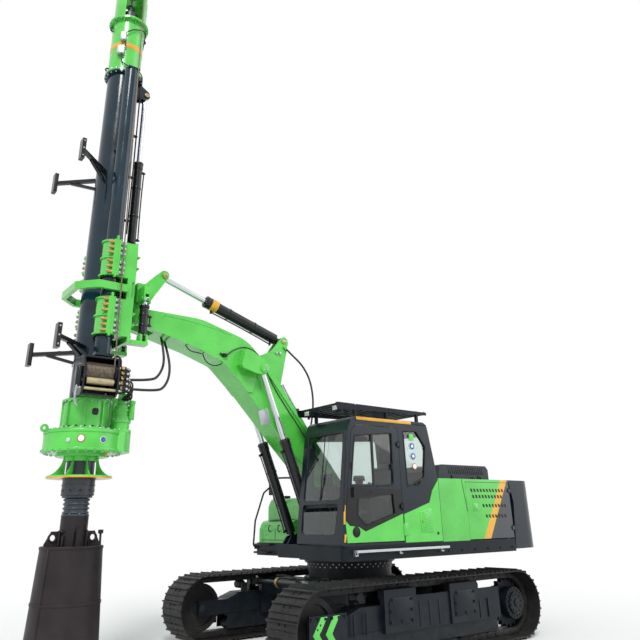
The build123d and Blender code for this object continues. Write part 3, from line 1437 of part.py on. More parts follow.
def winch_drum():
    """Rope drum with flanges and shaft; the wound rope is its outer layer."""
    drum = disc_x(drum_radius, drum_y, drum_z, drum_x - drum_half, drum_x + drum_half)
    for end in (-1, 1):
        face = drum_x + end * drum_half
        drum = drum + disc_x(drum_flange_radius, drum_y, drum_z, face, face - end * 16)
    return drum + disc_x(42, drum_y, drum_z, winch_rear + 2, winch_front - 2)


# ---------------------------------------------------------------- rotary head
head_bore = kelly_outer_radius + kelly_gap


def rotary_head():
    """Upper housing with ribs, gear case with its rear lobe, two drive motors and lifting lugs."""
    housing = disc_z(housing_radius, mast_x, 0, head_case_top - 1, mast_bottom - 0.3)
    housing = housing + disc_z(housing_radius + 26, mast_x, 0, mast_bottom - 24, mast_bottom - 0.3)
    housing = housing + disc_z(housing_radius + 50, mast_x, 0, head_case_top - 1, head_case_top + 30)
    for index in range(8):
        angle = index * 45 + 22.5
        rib = Pos(mast_x, 0, 0) * Rot(0, 0, angle) * block(housing_radius - 4, housing_radius + 24, -9, 9,
                                                         head_case_top + 29, mast_bottom - 23)
        housing = housing + rib
    case = disc_z(head_case_radius, mast_x, 0, head_case_bottom, head_case_top)
    lobe = (
        (mast_x + 120, head_case_radius - 20),
        (motor_x - 20, motor_spread + 150),
        (motor_x - 140, motor_spread + 30),
        (motor_x - 140, -motor_spread - 30),
        (motor_x - 20, -motor_spread - 150),
        (mast_x + 120, 20 - head_case_radius),
    )
    case = case + rounded_floor(lobe, (0, 120, 120, 120, 120, 0), head_case_bottom + 12, head_case_top - 12)
    head = housing + case
    # each motor stage from the case up: radius, bottom, top
    stages = (
        (motor_radius + 26, head_case_top - 13, head_case_top + 20),
        (motor_radius, head_case_top + 19, head_case_top + 190),
        (motor_radius + 14, head_case_top + 110, head_case_top + 150),
        (motor_radius - 12, head_case_top + 189, head_case_top + 320),
        (motor_radius + 2, head_case_top + 250, head_case_top + 275),
        (motor_radius - 34, head_case_top + 319, motor_top - 60),
    )
    for side in (1, -1):
        y = side * motor_spread
        for radius, z0, z1 in stages:
            head = head + disc_z(radius, motor_x, y, z0, z1)
        head = head + block(motor_x - 70, motor_x + 45, y - 60, y + 60, motor_top - 61, motor_top)
        lug = eye(mast_x + side * (head_case_radius + 20), head_case_top + 20, 48, 20, -14, 14)
        web = block(mast_x + side * (head_case_radius - 60), mast_x + side * (head_case_radius + 10), -14, 14,
                    head_case_top - 60, head_case_top + 12)
        head = head + web + lug
    head = head - disc_z(head_bore, mast_x, 0, head_case_bottom - 1, mast_bottom + 1)
    return head + pipe_z(head_bore + 2, kelly_outer_radius + seat, mast_x, 0, head_case_bottom + 40, head_case_top)


def discharge_flange():
    """Trumpet flange under the head: top ring, bottom plate and eight curved gussets."""
    ring = pipe_z(205, head_bore + 2, mast_x, 0, trumpet_top, head_case_bottom)
    collar = pipe_z(300, head_bore + 2, mast_x, 0, trumpet_top + 50, head_case_bottom)
    plate = pipe_z(trumpet_radius, collar_radius + 12, mast_x, 0, trumpet_bottom, trumpet_bottom + 20)
    flange = fused(ring, collar, plate)
    foot = trumpet_bottom + 19
    edge = (Line((198, trumpet_top + 55), (215, trumpet_top + 55))
            + ThreePointArc((215, trumpet_top + 55), (262, foot + 90), (trumpet_radius - 8, foot))
            + Polyline((trumpet_radius - 8, foot), (collar_radius + 14, foot), (198, trumpet_top + 55)))
    plane = Plane(origin=(0, 7, 0), x_dir=(1, 0, 0), z_dir=(0, -1, 0))
    gusset = extrude(plane * make_face(edge), 14)
    for index in range(gusset_count):
        turn = Pos(mast_x, 0, 0) * Rot(0, 0, index * 360 / gusset_count)
        flange = flange + turn * gusset
        between = Pos(mast_x, 0, 0) * Rot(0, 0, (index + 0.5) * 360 / gusset_count)
        flange = flange - between * disc_z(flange_hole_radius, flange_pitch_radius, 0, trumpet_bottom - 1, foot + 2)
    return flange


# ---------------------------------------------------------------- kelly bar and bucket
def kelly_outer():
    """Outer kelly tube with its drive keys and the lower collar."""
    tube = pipe_z(kelly_outer_radius, kelly_outer_bore, mast_x, 0, collar_bottom, kelly_outer_top)
    collar = pipe_z(collar_radius, kelly_outer_bore, mast_x, 0, collar_bottom, trumpet_bottom - 10)
    step = pipe_z(collar_radius - 14, kelly_outer_bore, mast_x, 0, collar_bottom - 24, collar_bottom + 1)
    bush = pipe_z(kelly_outer_bore + 2, kelly_inner_radius + seat, mast_x, 0, collar_bottom, collar_bottom + 90)
    return fused(tube, collar, step, bush)


def kelly_inner():
    """Inner kelly bar with its square stub and the rope swivel on top."""
    bar = disc_z(kelly_inner_radius, mast_x, 0, spring_bottom, kelly_inner_top)
    stub = block(mast_x - 75, mast_x + 75, -75, 75, box_bottom + 20, spring_bottom + 1)
    swivel = disc_z(46, mast_x, 0, kelly_inner_top - 1, kelly_inner_top + 110)
    ring = Pos(mast_x, 0, kelly_inner_top + 150) * Rot(90, 0, 0) * Torus(52, 17)
    return fused(bar, stub, swivel, ring)


def kelly_spring():
    """Shock spring under the collar, a sleeve carrying its turns, on the seat plate of the bar."""
    bore = kelly_inner_radius + seat
    top = collar_bottom - 30
    seat_top = spring_bottom + 18
    sleeve = spring_radius - spring_wire - 2
    rise = sqrt(spring_wire ** 2 - 2 ** 2)
    span = top - seat_top - 2 * spring_wire - 4
    edges = Polyline((bore, spring_bottom), (spring_radius + 4, spring_bottom), (spring_radius + 4, seat_top),
                     (sleeve, seat_top))
    last = seat_top
    for index in range(spring_turns):
        z = seat_top + 2 + spring_wire + index * span / (spring_turns - 1)
        edges = edges + Line((sleeve, last), (sleeve, z - rise))
        edges = edges + ThreePointArc((sleeve, z - rise), (spring_radius, z), (sleeve, z + rise))
        last = z + rise
    edges = edges + Polyline((sleeve, last), (sleeve, top), (bore, top), (bore, spring_bottom))
    plane = Plane(origin=(mast_x, 0, 0), x_dir=(1, 0, 0), z_dir=(0, -1, 0))
    return revolve(plane * make_face(edges), Axis((mast_x, 0, 0), (0, 0, 1)))


bucket_plate_z = bucket_top - 80
gate_hinge_x = mast_x - bucket_bottom_radius - 20
gate_top = bucket_bottom - kelly_gap
gate_hinge_z = gate_top - gate_thickness / 2
gate_knuckle_half = 60
gate_pin_radius = 10


def bucket_radius(z):
    """Outer radius of the tapered bucket shell at a height."""
    share = (bucket_top - z) / (bucket_top - bucket_bottom)
    return bucket_top_radius + share * (bucket_bottom_radius - bucket_top_radius)


def bucket():
    """Tapered drilling bucket, open at its rim, with top plate, kelly box, latch bars and two eared plates."""
    height = bucket_top - bucket_bottom
    outer = Pos(mast_x, 0, bucket_bottom) * Solid.make_cone(bucket_bottom_radius, bucket_top_radius, height)
    cavity = Pos(mast_x, 0, bucket_bottom - 1) * Solid.make_cone(bucket_bottom_radius - bucket_wall,
                                                               bucket_top_radius - bucket_wall, height + 2)
    shell = outer - cavity
    plate_radius = bucket_radius(bucket_plate_z) - 6
    body = shell + disc_z(plate_radius, mast_x, 0, bucket_plate_z - 24, bucket_plate_z)
    box = disc_z(box_radius, mast_x, 0, bucket_plate_z - 1, spring_bottom - 0.3)
    box = box - block(mast_x - 75.3, mast_x + 75.3, -75.3, 75.3, box_bottom + 19, spring_bottom)
    body = body + box
    for side in (1, -1):
        ear = (
            (side * (box_radius - 6), bucket_plate_z - 1),
            (side * (box_radius - 6), lug_hole_z + 70),
            (side * (lug_spread + 20), lug_hole_z + 70),
            (side * (bucket_radius(bucket_top) - 26), bucket_top + 20),
            (side * (bucket_radius(bucket_top) - 26), bucket_plate_z - 1),
        )
        plate = side_plate([(mast_x + x, z) for x, z in ear], -14, 14)
        plate = plate - disc_y(lug_hole_radius, mast_x + side * lug_spread, lug_hole_z, -20, 20)
        body = body + plate
        latch = block(mast_x - 26, mast_x + 26, side * (box_radius - 6), side * (box_radius + 36),
                      bucket_plate_z - 1, bucket_plate_z + 270)
        body = body + latch
        span = sorted((side * (gate_knuckle_half + 1), side * (gate_knuckle_half + 25)))
        hanger = block(gate_hinge_x - 19, gate_hinge_x + 45, *span, bucket_bottom + 6, bucket_bottom + 90)
        hanger = hanger + block(gate_hinge_x - 19, gate_hinge_x + 19, *span, gate_hinge_z, bucket_bottom + 7)
        hanger = hanger + disc_y(19, gate_hinge_x, gate_hinge_z, *span)
        body = body + hanger
    reach = gate_knuckle_half + 25
    return body + disc_y(gate_pin_radius, gate_hinge_x, gate_hinge_z, -reach, reach)




def bucket_gate():
    """Bottom gate with a feed slot and cutting teeth."""
    gate = disc_z(bucket_bottom_radius, mast_x, 0, gate_top - gate_thickness, gate_top)
    slot = block(mast_x - 20, mast_x + 120, 90, bucket_bottom_radius - 60, gate_top - gate_thickness - 1, gate_top + 1)
    gate = gate - slot
    tooth = ((-26, 0), (26, 0), (20, -60), (2, -tooth_drop + gate_thickness), (-14, -60))
    count = 5
    for index in range(count):
        y = 90 + index * (bucket_bottom_radius - 150) / (count - 1)
        for side in (1, -1):
            points = [(mast_x + side * (x - 50), gate_top - gate_thickness + 1 + z) for x, z in tooth]
            span = sorted((side * (y - 24), side * (y + 24)))
            gate = gate + side_plate(points, *span)
    half = gate_knuckle_half
    knuckle = disc_y(24, gate_hinge_x, gate_hinge_z, -half, half)
    arm = block(gate_hinge_x, mast_x - bucket_bottom_radius + 40, -half, half, gate_top - gate_thickness, gate_top)
    return (gate + knuckle + arm) - disc_y(gate_pin_radius + seat, gate_hinge_x, gate_hinge_z, -half - 1, half + 1)


# ---------------------------------------------------------------- rope and hoses
def hoist_rope():
    """Taut hoist rope: drum to sheave, over the sheave and down to the swivel."""
    low = (winch_rear + 60, drum_y + drum_radius + rope_radius + 1, drum_z)
    high = (mast_x, sheave_y + sheave_radius + rope_radius * 0.1, sheave_z)
    run = Vector(*high) - Vector(*low)
    rise = extrude(Plane(origin=low, z_dir=run) * Circle(rope_radius), run.length)
    arc = Plane(origin=(mast_x, sheave_y, sheave_z), x_dir=(0, 1, 0), z_dir=(1, 0, 0))
    bend = arc * CenterArc((0, 0), sheave_radius + rope_radius * 0.1, 0, 180)
    over = sweep(Plane(origin=bend @ 0, z_dir=bend % 0) * Circle(rope_radius), path=bend)
    fall = disc_z(rope_radius, mast_x, sheave_y - sheave_radius - rope_radius * 0.1, kelly_inner_top + 225, sheave_z)
    return fused(rise, over, fall)


def hose(radius, points):
    """Free hose: straight runs joined by the largest tangent arcs that fit."""
    radii = []
    corners = [Vector(*point) for point in points]
    for before, corner_point, after in zip(corners, corners[1:], corners[2:]):
        turn = radians((corner_point - before).get_angle(after - corner_point))
        shorter = min((corner_point - before).length, (after - corner_point).length)
        radii.append(0.45 * shorter / tan(turn / 2))
    print("hose radii", [round(value) for value in radii])
    path = FilletPolyline(*points, radius=radii)
    return sweep(Plane(origin=path @ 0, z_dir=path % 0) * Circle(radius), path=path)


# ---------------------------------------------------------------- export
front_reach = mast_x + rest_reach + rest_bar / 2
centre_shift = (tail_length - front_reach) / 2

NODES = {
    "track_left": track(1),
    "track_right": track(-1),
    "track_frames": group(*both_sides(track_frame())),
    "track_rollers": group(track_rollers(), carrier_rollers()),
    "idlers": idlers(),
    "final_drives": final_drives(),
    "centre_frame": fused(centre_frame(), slew_ring()),
    "spread_cylinders": spread_cylinders(),
    "slew_frame": slew_frame(),
    "counterweight": counterweight(),
    "body_shell": body_shell(),
    "engine_hood": engine_hood(),
    "engine_block": engine_block(),
    "door_left": side_door(1),
    "door_right": side_door(-1),
    "right_side": right_side(),
    "cab_shell": cab_shell(),
    "cab_glass": cab_glass(),
    "cab_side_skin": cab_side_skin(),
    "cab_door": cab_door(),
    "door_skin": door_skin(),
    "door_glass": door_glass(),
    "cab_seat": cab_seat(),
    "roof_guard": roof_guard(),
    "step_rail": step_rail(),
    "mirror_stay": mirror_stay(),
    "boom": boom(),
    "lift_barrels": lift_barrels(),
    "lift_rods": lift_rods(),
    "tilt_barrel": tilt_barrel(),
    "tilt_rod": tilt_rod(),
    "pitch_block": pitch_block(),
    "roll_barrel_left": roll_barrel(1),
    "roll_barrel_right": roll_barrel(-1),
    "roll_rod_left": roll_rod(1),
    "roll_rod_right": roll_rod(-1),
    "carriage": carriage(),
    "clamp_jaws": clamp_jaws(),
    "crowd_barrel": crowd_barrel(),
    "crowd_rod": crowd_rod(),
    "mast_tube": mast_tube(),
    "mast_head": mast_head(),
    "top_sheave": top_sheave(),
    "rest_arms": rest_arms(),
    "winch_frame": winch_frame(),
    "winch_drum": winch_drum(),
    "rotary_head": rotary_head(),
    "discharge_flange": discharge_flange(),
    "kelly_outer": kelly_outer(),
    "kelly_inner": kelly_inner(),
    "kelly_spring": kelly_spring(),
    "bucket": bucket(),
    "bucket_gate": bucket_gate(),
    "hoist_rope": hoist_rope(),
}
for hose_name, hose_radius, hose_points in hose_routes:
    NODES[hose_name] = hose(hose_radius, hose_points)

os.makedirs("parts", exist_ok=True)
for node_name, shape in NODES.items():
    placed = Pos(centre_shift, 0, 0) * shape
    export_step(placed, f"parts/{node_name}.step")
print("centre shift", centre_shift, "nodes", len(NODES))
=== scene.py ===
"""Looks of a rotary piling rig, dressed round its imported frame.

Lengths in the classes are millimetres about the slewing axis, as in the part's source; at() turns a
point into the frame's metres.
"""
import logging
from collections.abc import Iterable, Sequence
from dataclasses import dataclass, field
from enum import Enum
from math import cos, pi, radians, sin
from typing import ClassVar

import bpy
from mathutils import Matrix, Quaternion, Vector


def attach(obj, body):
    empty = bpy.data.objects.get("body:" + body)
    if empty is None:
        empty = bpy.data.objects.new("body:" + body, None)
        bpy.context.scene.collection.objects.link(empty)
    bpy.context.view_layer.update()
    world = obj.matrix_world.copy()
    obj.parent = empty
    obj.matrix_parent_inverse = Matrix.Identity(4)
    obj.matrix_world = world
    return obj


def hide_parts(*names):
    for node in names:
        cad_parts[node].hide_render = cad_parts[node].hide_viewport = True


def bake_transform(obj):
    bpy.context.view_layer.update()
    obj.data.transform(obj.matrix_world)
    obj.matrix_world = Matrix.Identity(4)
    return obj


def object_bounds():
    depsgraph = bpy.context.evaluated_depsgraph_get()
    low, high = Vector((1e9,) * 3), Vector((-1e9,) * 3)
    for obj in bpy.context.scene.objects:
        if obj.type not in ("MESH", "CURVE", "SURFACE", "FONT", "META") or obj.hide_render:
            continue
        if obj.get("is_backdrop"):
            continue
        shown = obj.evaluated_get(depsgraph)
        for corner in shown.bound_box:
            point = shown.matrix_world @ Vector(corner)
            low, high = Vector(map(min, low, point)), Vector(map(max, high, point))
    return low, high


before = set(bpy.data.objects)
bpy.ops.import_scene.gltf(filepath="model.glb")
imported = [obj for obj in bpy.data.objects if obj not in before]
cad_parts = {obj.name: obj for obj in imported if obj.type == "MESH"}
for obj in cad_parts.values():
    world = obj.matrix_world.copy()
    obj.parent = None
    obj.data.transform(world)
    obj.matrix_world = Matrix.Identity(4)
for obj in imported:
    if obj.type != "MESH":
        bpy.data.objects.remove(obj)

LOG = logging.getLogger("rig")
CENTRE_SHIFT = -948.0
UP = (0, 0, 1)
DOWN = (0, 0, -1)
Point = Sequence[float]
Link = bpy.types.NodeSocket
Node = bpy.types.Node
Tree = bpy.types.NodeTree
Piece = bpy.types.Object


def at(x: float, y: float, z: float) -> Vector:
    """Return a millimetre point about the slewing axis as a point of the frame, in metres."""
    return Vector(((x + CENTRE_SHIFT) / 1000, y / 1000, z / 1000))


def linear(code: str) -> tuple[float, float, float, float]:
    """Turn an sRGB hex code such as "#5fd452" into linear red, green, blue and alpha.

    Args:
        code: hash sign and six hex digits.

    Returns:
        Four linear values, alpha 1.
    """
    channels = [int(code[i:i + 2], 16) / 255 for i in (1, 3, 5)]
    values = [c / 12.92 if c <= 0.04045 else ((c + 0.055) / 1.055) ** 2.4 for c in channels]
    return (values[0], values[1], values[2], 1.0)


def feed(tree: Tree, node: Node, inputs: dict) -> None:
    """Set or link a node's inputs.

    Args:
        tree: the node's tree.
        node: the node.
        inputs: by input name or number, a value, a socket, or a node for its first output.
    """
    for key, value in inputs.items():
        if isinstance(value, Node):
            value = value.outputs[0]
        if isinstance(value, Link):
            tree.links.new(value, node.inputs[key])
        else:
            node.inputs[key].default_value = value


def add_node(tree: Tree, kind: str, inputs: dict | None = None, **settings: object) -> Node:
    """Add a node, set or link its inputs and set its own properties.

    Args:
        tree: the material's or world's node tree.
        kind: Blender's name of the node type.
        inputs: value or socket for each input, by name or number.
        settings: the node's own properties.

    Returns:
        The new node.
    """
    node = tree.nodes.new(kind)
    for name, value in settings.items():
        setattr(node, name, value)
    feed(tree, node, inputs or {})
    return node


# ---- finishes
@dataclass(frozen=True)
class Finish:
    """A paint, metal or moulding, made as one node material.

    Attributes:
        name: the real material and how it was made.
        colour: sRGB hex of the clean surface.
        shade: sRGB hex of its darker or duller patches.
        rough: roughness of the clean surface.
        metal: 1 for bare metal, 0 for paint and moulding.
        coat: clear coat weight.
        grain: size of the fine relief in mm; drawn no finer than 4 mm so that it shows.
        relief: strength of the fine relief.
        patch: size of the colour patches in mm.
        soil: sRGB hex of dust, or nothing where the surface is clean.
        soil_top: height in mm over the ground at which the dust has faded out.
        soil_share: most dust that lies low down, 0 to 1.
        gloss: specular level, 0.5 for a plain dielectric, less for a surface that has dulled.
        slot: the record's material slot for pieces in this finish; not used.
    """

    name: str
    colour: str
    shade: str
    rough: float = 0.4
    metal: float = 0.0
    coat: float = 0.0
    grain: float = 6.0
    relief: float = 0.05
    patch: float = 350.0
    soil: str = ""
    soil_top: float = 900.0
    soil_share: float = 0.5
    gloss: float = 0.5
    slot: str = ""

    def material(self) -> bpy.types.Material:
        """Give this finish's material, made on its first use.

        Returns:
            The material.
        """
        made = bpy.data.materials.get(self.name)
        if not made:
            made = bpy.data.materials.new(self.name)
            made.use_nodes = True
            tree = made.node_tree
            self.surface(tree, tree.nodes["Principled BSDF"], add_node(tree, "ShaderNodeTexCoord").outputs["Object"])
        return made

    def surface(self, tree: Tree, shader: Node, coords: Link) -> None:
        """Lead colour, uneven roughness and fine relief to the shader.

        Args:
            tree: the material's tree.
            shader: its principled shader.
            coords: object coordinates.
        """
        colour = self.paint(tree, coords)
        fine = add_node(tree, "ShaderNodeTexNoise", {"Vector": coords, "Scale": 1000 / self.grain, "Detail": 3.0})
        blotch = add_node(tree, "ShaderNodeTexNoise", {"Vector": coords, "Scale": 1400 / self.patch, "Detail": 4.0})
        spread = add_node(tree, "ShaderNodeMapRange",
            {"Value": blotch, "From Min": 0.3, "From Max": 0.7, "To Min": max(0.03, self.rough - 0.07),
                "To Max": min(1.0, self.rough + 0.09)})
        bump = add_node(tree, "ShaderNodeBump",
            {"Height": fine, "Strength": self.relief, "Distance": self.grain / 4000})
        feed(tree, shader, {"Base Color": colour, "Roughness": spread, "Normal": bump, "Metallic": self.metal,
                "Specular IOR Level": self.gloss, "Coat Weight": self.coat, "Coat Roughness": 0.08})

    def paint(self, tree: Tree, coords: Link) -> Link:
        """Colour with its patches and its dust.

        Args:
            tree: the material's tree.
            coords: object coordinates.

        Returns:
            The colour socket for the shader.
        """
        patches = add_node(tree, "ShaderNodeTexNoise", {"Vector": coords, "Scale": 1000 / self.patch, "Detail": 5.0})
        share = add_node(tree, "ShaderNodeMapRange",
            {"Value": patches, "From Min": 0.42, "From Max": 0.72, "To Min": 0.0, "To Max": 1.0})
        # patches darken whatever colour lies there, so that a band keeps its own hue
        ratio = [dull / clean for dull, clean in zip(linear(self.shade), linear(self.colour))]
        mixed = add_node(tree, "ShaderNodeMix", {"Factor": share, 6: self.livery(tree, coords), 7: ratio},
            data_type="RGBA", blend_type="MULTIPLY")
        if not self.soil:
            return mixed.outputs[2]
        place = add_node(tree, "ShaderNodeSeparateXYZ", {"Vector": coords})
        height = add_node(tree, "ShaderNodeMapRange",
            {"Value": place.outputs["Z"], "From Min": 0.0, "From Max": self.soil_top / 1000, "To Min": self.soil_share,
                "To Max": 0.0})
        dust = add_node(tree, "ShaderNodeTexNoise", {"Vector": coords, "Scale": 9.0, "Detail": 8.0})
        grip = add_node(tree, "ShaderNodeMapRange",
            {"Value": dust, "From Min": 0.35, "From Max": 0.65, "To Min": 0.2, "To Max": 1.0})
        lying = add_node(tree, "ShaderNodeMath", {0: height, 1: grip}, operation="MULTIPLY")
        dusty = add_node(tree, "ShaderNodeMix", {"Factor": lying, 6: mixed.outputs[2], 7: linear(self.soil)},
            data_type="RGBA")
        return dusty.outputs[2]

    def livery(self, tree: Tree, coords: Link) -> object:
        """Clean colour, before patches and dust; one colour unless a finish has bands."""
        return linear(self.colour)


# two-pack enamel, sprayed: bright, smooth and glossy, with a faint orange peel
LIME_ENAMEL = Finish("two_pack_enamel_lime", "#56c94a", "#49b840", rough=0.28, coat=0.5, grain=7, relief=0.03,
    slot="green")
# the same paint on castings, a little deeper and duller
LIME_CAST = Finish("two_pack_enamel_lime_on_castings", "#58cc4e", "#46b43d", rough=0.36, coat=0.35, grain=9,
    relief=0.09, slot="green")
# enamel in dark grey-blue on the cab, counterweight and covers
GRAPHITE_ENAMEL = Finish("two_pack_enamel_graphite", "#121e27", "#0e1921", rough=0.3, coat=0.12, grain=7, relief=0.03,
    gloss=0.3)
# blue-black gloss enamel on rolled tube, which mirrors the sky in long streaks
MAST_ENAMEL = Finish("gloss_enamel_black_on_tube", "#112b38", "#0c202b", rough=0.13, coat=0.25, grain=12, relief=0.02,
    gloss=0.3, slot="mast_black")
# blue-black chassis paint, dusty near the ground
CHASSIS_PAINT = Finish("chassis_paint_black", "#07121c", "#050e16", rough=0.42, grain=10, relief=0.1, gloss=0.25,
    soil="#4d4a45", soil_top=900, soil_share=0.2, slot="chassis")
# cast and forged manganese steel: dark, rubbed grey, dust in its pits
TRACK_STEEL = Finish("forged_manganese_steel", "#232324", "#19191a", rough=0.5, metal=0.2, grain=8, relief=0.35,
    gloss=0.3, patch=120, soil="#57534d", soil_top=900, soil_share=0.26, slot="track_steel")
# hard chrome plated rod: bright and nearly clean
CHROME = Finish("hard_chrome_rod", "#d4d7da", "#c4c8cc", rough=0.12, metal=1.0, grain=5, relief=0.01)
# cylinder enamel, near black
CYLINDER_ENAMEL = Finish("cylinder_enamel_black", "#15181b", "#101315", rough=0.26, coat=0.2, grain=8, relief=0.03,
    gloss=0.3, slot="cylinder")
# yellow zinc plating: pale gold with a green-red shimmer
GOLD_ZINC = Finish("yellow_zinc_plating", "#bfa462", "#a08c5a", rough=0.34, metal=0.9, grain=5, relief=0.05, patch=60,
    slot="chrome")
# clear zinc plating: pale silver
SILVER_ZINC = Finish("clear_zinc_plating", "#b9bdbf", "#9aa0a4", rough=0.32, metal=0.9, grain=5, relief=0.05, patch=60,
    slot="chrome")
# extruded aluminium, matt
ALUMINIUM = Finish("extruded_aluminium", "#c4c7c8", "#aeb2b4", rough=0.42, metal=0.9, grain=6, relief=0.04,
    slot="silver")
# amber enamel of bands, lenses and reflectors
AMBER_ENAMEL = Finish("enamel_amber", "#e2a620", "#cb921a", rough=0.35, coat=0.3, grain=7, relief=0.03, slot="silver")
# moulded nitrile rubber of hoses
HOSE_RUBBER = Finish("moulded_hose_rubber", "#1b1c1d", "#262728", rough=0.5, grain=5, relief=0.2, patch=90, slot="hose")
# moulded EPDM of seals
SEAL_RUBBER = Finish("moulded_seal_rubber", "#141516", "#1c1d1e", rough=0.6, grain=5, relief=0.15, slot="hose")
# moulded ABS of handles, lamps and trim
TRIM_ABS = Finish("moulded_abs_black", "#15181a", "#1b1e20", rough=0.5, grain=4, relief=0.25, gloss=0.3,
    slot="graphite")
# kelly bar paint, blue-grey and rubbed
KELLY_PAINT = Finish("bar_paint_blue_grey", "#3a424c", "#2c323a", rough=0.38, metal=0.1, grain=9, relief=0.12,
    patch=200, slot="kelly_paint")
# bucket paint, brown-black on rolled plate
BUCKET_PAINT = Finish("plate_paint_brown_black", "#272124", "#1c181a", rough=0.46, gloss=0.25, grain=10, relief=0.16,
    patch=240, soil="#6a6055", soil_top=700, soil_share=0.18, slot="bucket_steel")
# greased wire rope
WIRE_ROPE = Finish("greased_wire_rope", "#77695a", "#564b40", rough=0.5, metal=0.5, grain=5, relief=0.3, patch=40,
    slot="rope")
# engine castings
ENGINE_CAST = Finish("engine_cast_iron", "#53565a", "#43464a", rough=0.6, metal=0.2, grain=10, relief=0.25,
    slot="engine_grey")
# anodised sheet of blank plates: pale and silky
BLANK_PLATE = Finish("anodised_blank_plate", "#c9cdd0", "#b4b9bc", rough=0.35, metal=0.6, grain=5, relief=0.04,
    slot="silver")
# white enamel of blank round signs
WHITE_ENAMEL = Finish("enamel_white", "#e9ebea", "#dcdfde", rough=0.3, coat=0.3, grain=7, relief=0.02, slot="silver")
# the same enamel in blue and red, on sign rims, tail lamps and marks
BLUE_ENAMEL = Finish("enamel_blue", "#2c5aa0", "#274f8c", rough=0.35, coat=0.3, grain=7, relief=0.03)
RED_ENAMEL = Finish("enamel_red", "#b8322a", "#9c2a24", rough=0.35, coat=0.3, grain=7, relief=0.03, slot="spread_green")


@dataclass(frozen=True)
class BandedEnamel(Finish):
    """Lime enamel with a slanting amber band and graphite behind it, as masked and sprayed on the body's sides."""

    band: str = "#dfa522"
    rear: str = "#2c3138"
    # along the sill line at height 1325: band's front edge and rear edge; slope is X per Z of the slanted edge
    edges: tuple[float, float] = (-1512.0, -1672.0)
    slope: float = 527 / 813
    sill: float = 1325.0

    def livery(self, tree: Tree, coords: Link) -> object:
        """Colour by which side of the two slanted edges a point lies on.

        Args:
            tree: the material's tree.
            coords: object coordinates.

        Returns:
            The banded colour's socket.
        """
        place = add_node(tree, "ShaderNodeSeparateXYZ", {"Vector": coords})
        lean = add_node(tree, "ShaderNodeMath", {0: place.outputs["Z"], 1: self.slope, 2: place.outputs["X"]},
            operation="MULTIPLY_ADD")
        colour: object = linear(self.colour)
        for edge, code in zip(self.edges, (self.band, self.rear)):
            limit = (edge + CENTRE_SHIFT + self.sill * self.slope) / 1000
            behind = add_node(tree, "ShaderNodeMath", {0: lean, 1: limit}, operation="LESS_THAN")
            mix = add_node(tree, "ShaderNodeMix", {"Factor": behind, 6: colour, 7: linear(code)}, data_type="RGBA")
            colour = mix.outputs[2]
        return colour


@dataclass(frozen=True)
class SplitEnamel(Finish):
    """Enamel in one colour between two heights or widths and in another outside them, as masked and sprayed."""

    other: str = "#14171a"
    axis: str = "Z"
    low: float = 0.0
    high: float = 1000.0

    def livery(self, tree: Tree, coords: Link) -> object:
        """The clean colour inside the span along the axis, the other colour outside it.

        Args:
            tree: the material's tree.
            coords: object coordinates.

        Returns:
            The split colour's socket.
        """
        place = add_node(tree, "ShaderNodeSeparateXYZ", {"Vector": coords}).outputs[self.axis]
        above = add_node(tree, "ShaderNodeMath", {0: place, 1: self.low / 1000}, operation="GREATER_THAN")
        below = add_node(tree, "ShaderNodeMath", {0: place, 1: self.high / 1000}, operation="LESS_THAN")
        inside = add_node(tree, "ShaderNodeMath", {0: above, 1: below}, operation="MULTIPLY")
        mix = add_node(tree, "ShaderNodeMix", {"Factor": inside, 6: linear(self.other), 7: linear(self.colour)},
            data_type="RGBA")
        return mix.outputs[2]


@dataclass(frozen=True)
class Glazing(Finish):
    """Tempered float glass: clear with a light grey-green tint; lets light through to the cab."""

    def surface(self, tree: Tree, shader: Node, coords: Link) -> None:
        """Clear pane with faint smears, which lets the lamps' light through untouched.

        Args:
            tree: the material's tree.
            shader: its principled shader.
            coords: object coordinates.
        """
        smear = add_node(tree, "ShaderNodeTexNoise", {"Vector": coords, "Scale": 3.0, "Detail": 4.0})
        film = add_node(tree, "ShaderNodeMapRange",
            {"Value": smear, "From Min": 0.4, "From Max": 0.7, "To Min": 0.01, "To Max": self.rough})
        feed(tree, shader, {"Roughness": film, "Base Color": linear(self.colour), "Transmission Weight": 1.0,
                "IOR": 1.5})
        clear = add_node(tree, "ShaderNodeBsdfTransparent", {"Color": linear(self.shade)})
        path = add_node(tree, "ShaderNodeLightPath")
        mix = add_node(tree, "ShaderNodeMixShader", {"Fac": path.outputs["Is Shadow Ray"], 1: shader, 2: clear})
        feed(tree, tree.nodes["Material Output"], {"Surface": mix})


@dataclass(frozen=True)
class WovenCloth(Finish):
    """Polyester seat cloth in plain weave; threads drawn 6 mm apart, coarser than real, so that they show."""

    def livery(self, tree: Tree, coords: Link) -> object:
        """Two crossing sets of threads, one a little lighter.

        Args:
            tree: the material's tree.
            coords: object coordinates.

        Returns:
            The cloth colour's socket.
        """
        waves = [add_node(tree, "ShaderNodeTexWave", {"Vector": coords, "Scale": 50.0 / self.grain * 6.0},
                bands_direction=axis) for axis in ("X", "Z")]
        both = add_node(tree, "ShaderNodeMath", {0: waves[0].outputs["Fac"], 1: waves[1].outputs["Fac"]},
            operation="MULTIPLY")
        mix = add_node(tree, "ShaderNodeMix", {"Factor": both, 6: linear(self.shade), 7: linear(self.colour)},
            data_type="RGBA")
        return mix.outputs[2]


# lime enamel with the amber band and graphite behind it, on both sides of the body
BODY_LIVERY = BandedEnamel("two_pack_enamel_lime_banded", "#50bf45", "#45ae3b", rough=0.28, coat=0.5, grain=7,
    relief=0.03)
# graphite enamel over the door's upper frame, black below its sill
DOOR_LIVERY = SplitEnamel("two_pack_enamel_graphite_split", "#17232c", "#131c24", rough=0.3, coat=0.12, grain=7,
    relief=0.03, gloss=0.3, other="#0f1214", low=2000, high=4000)
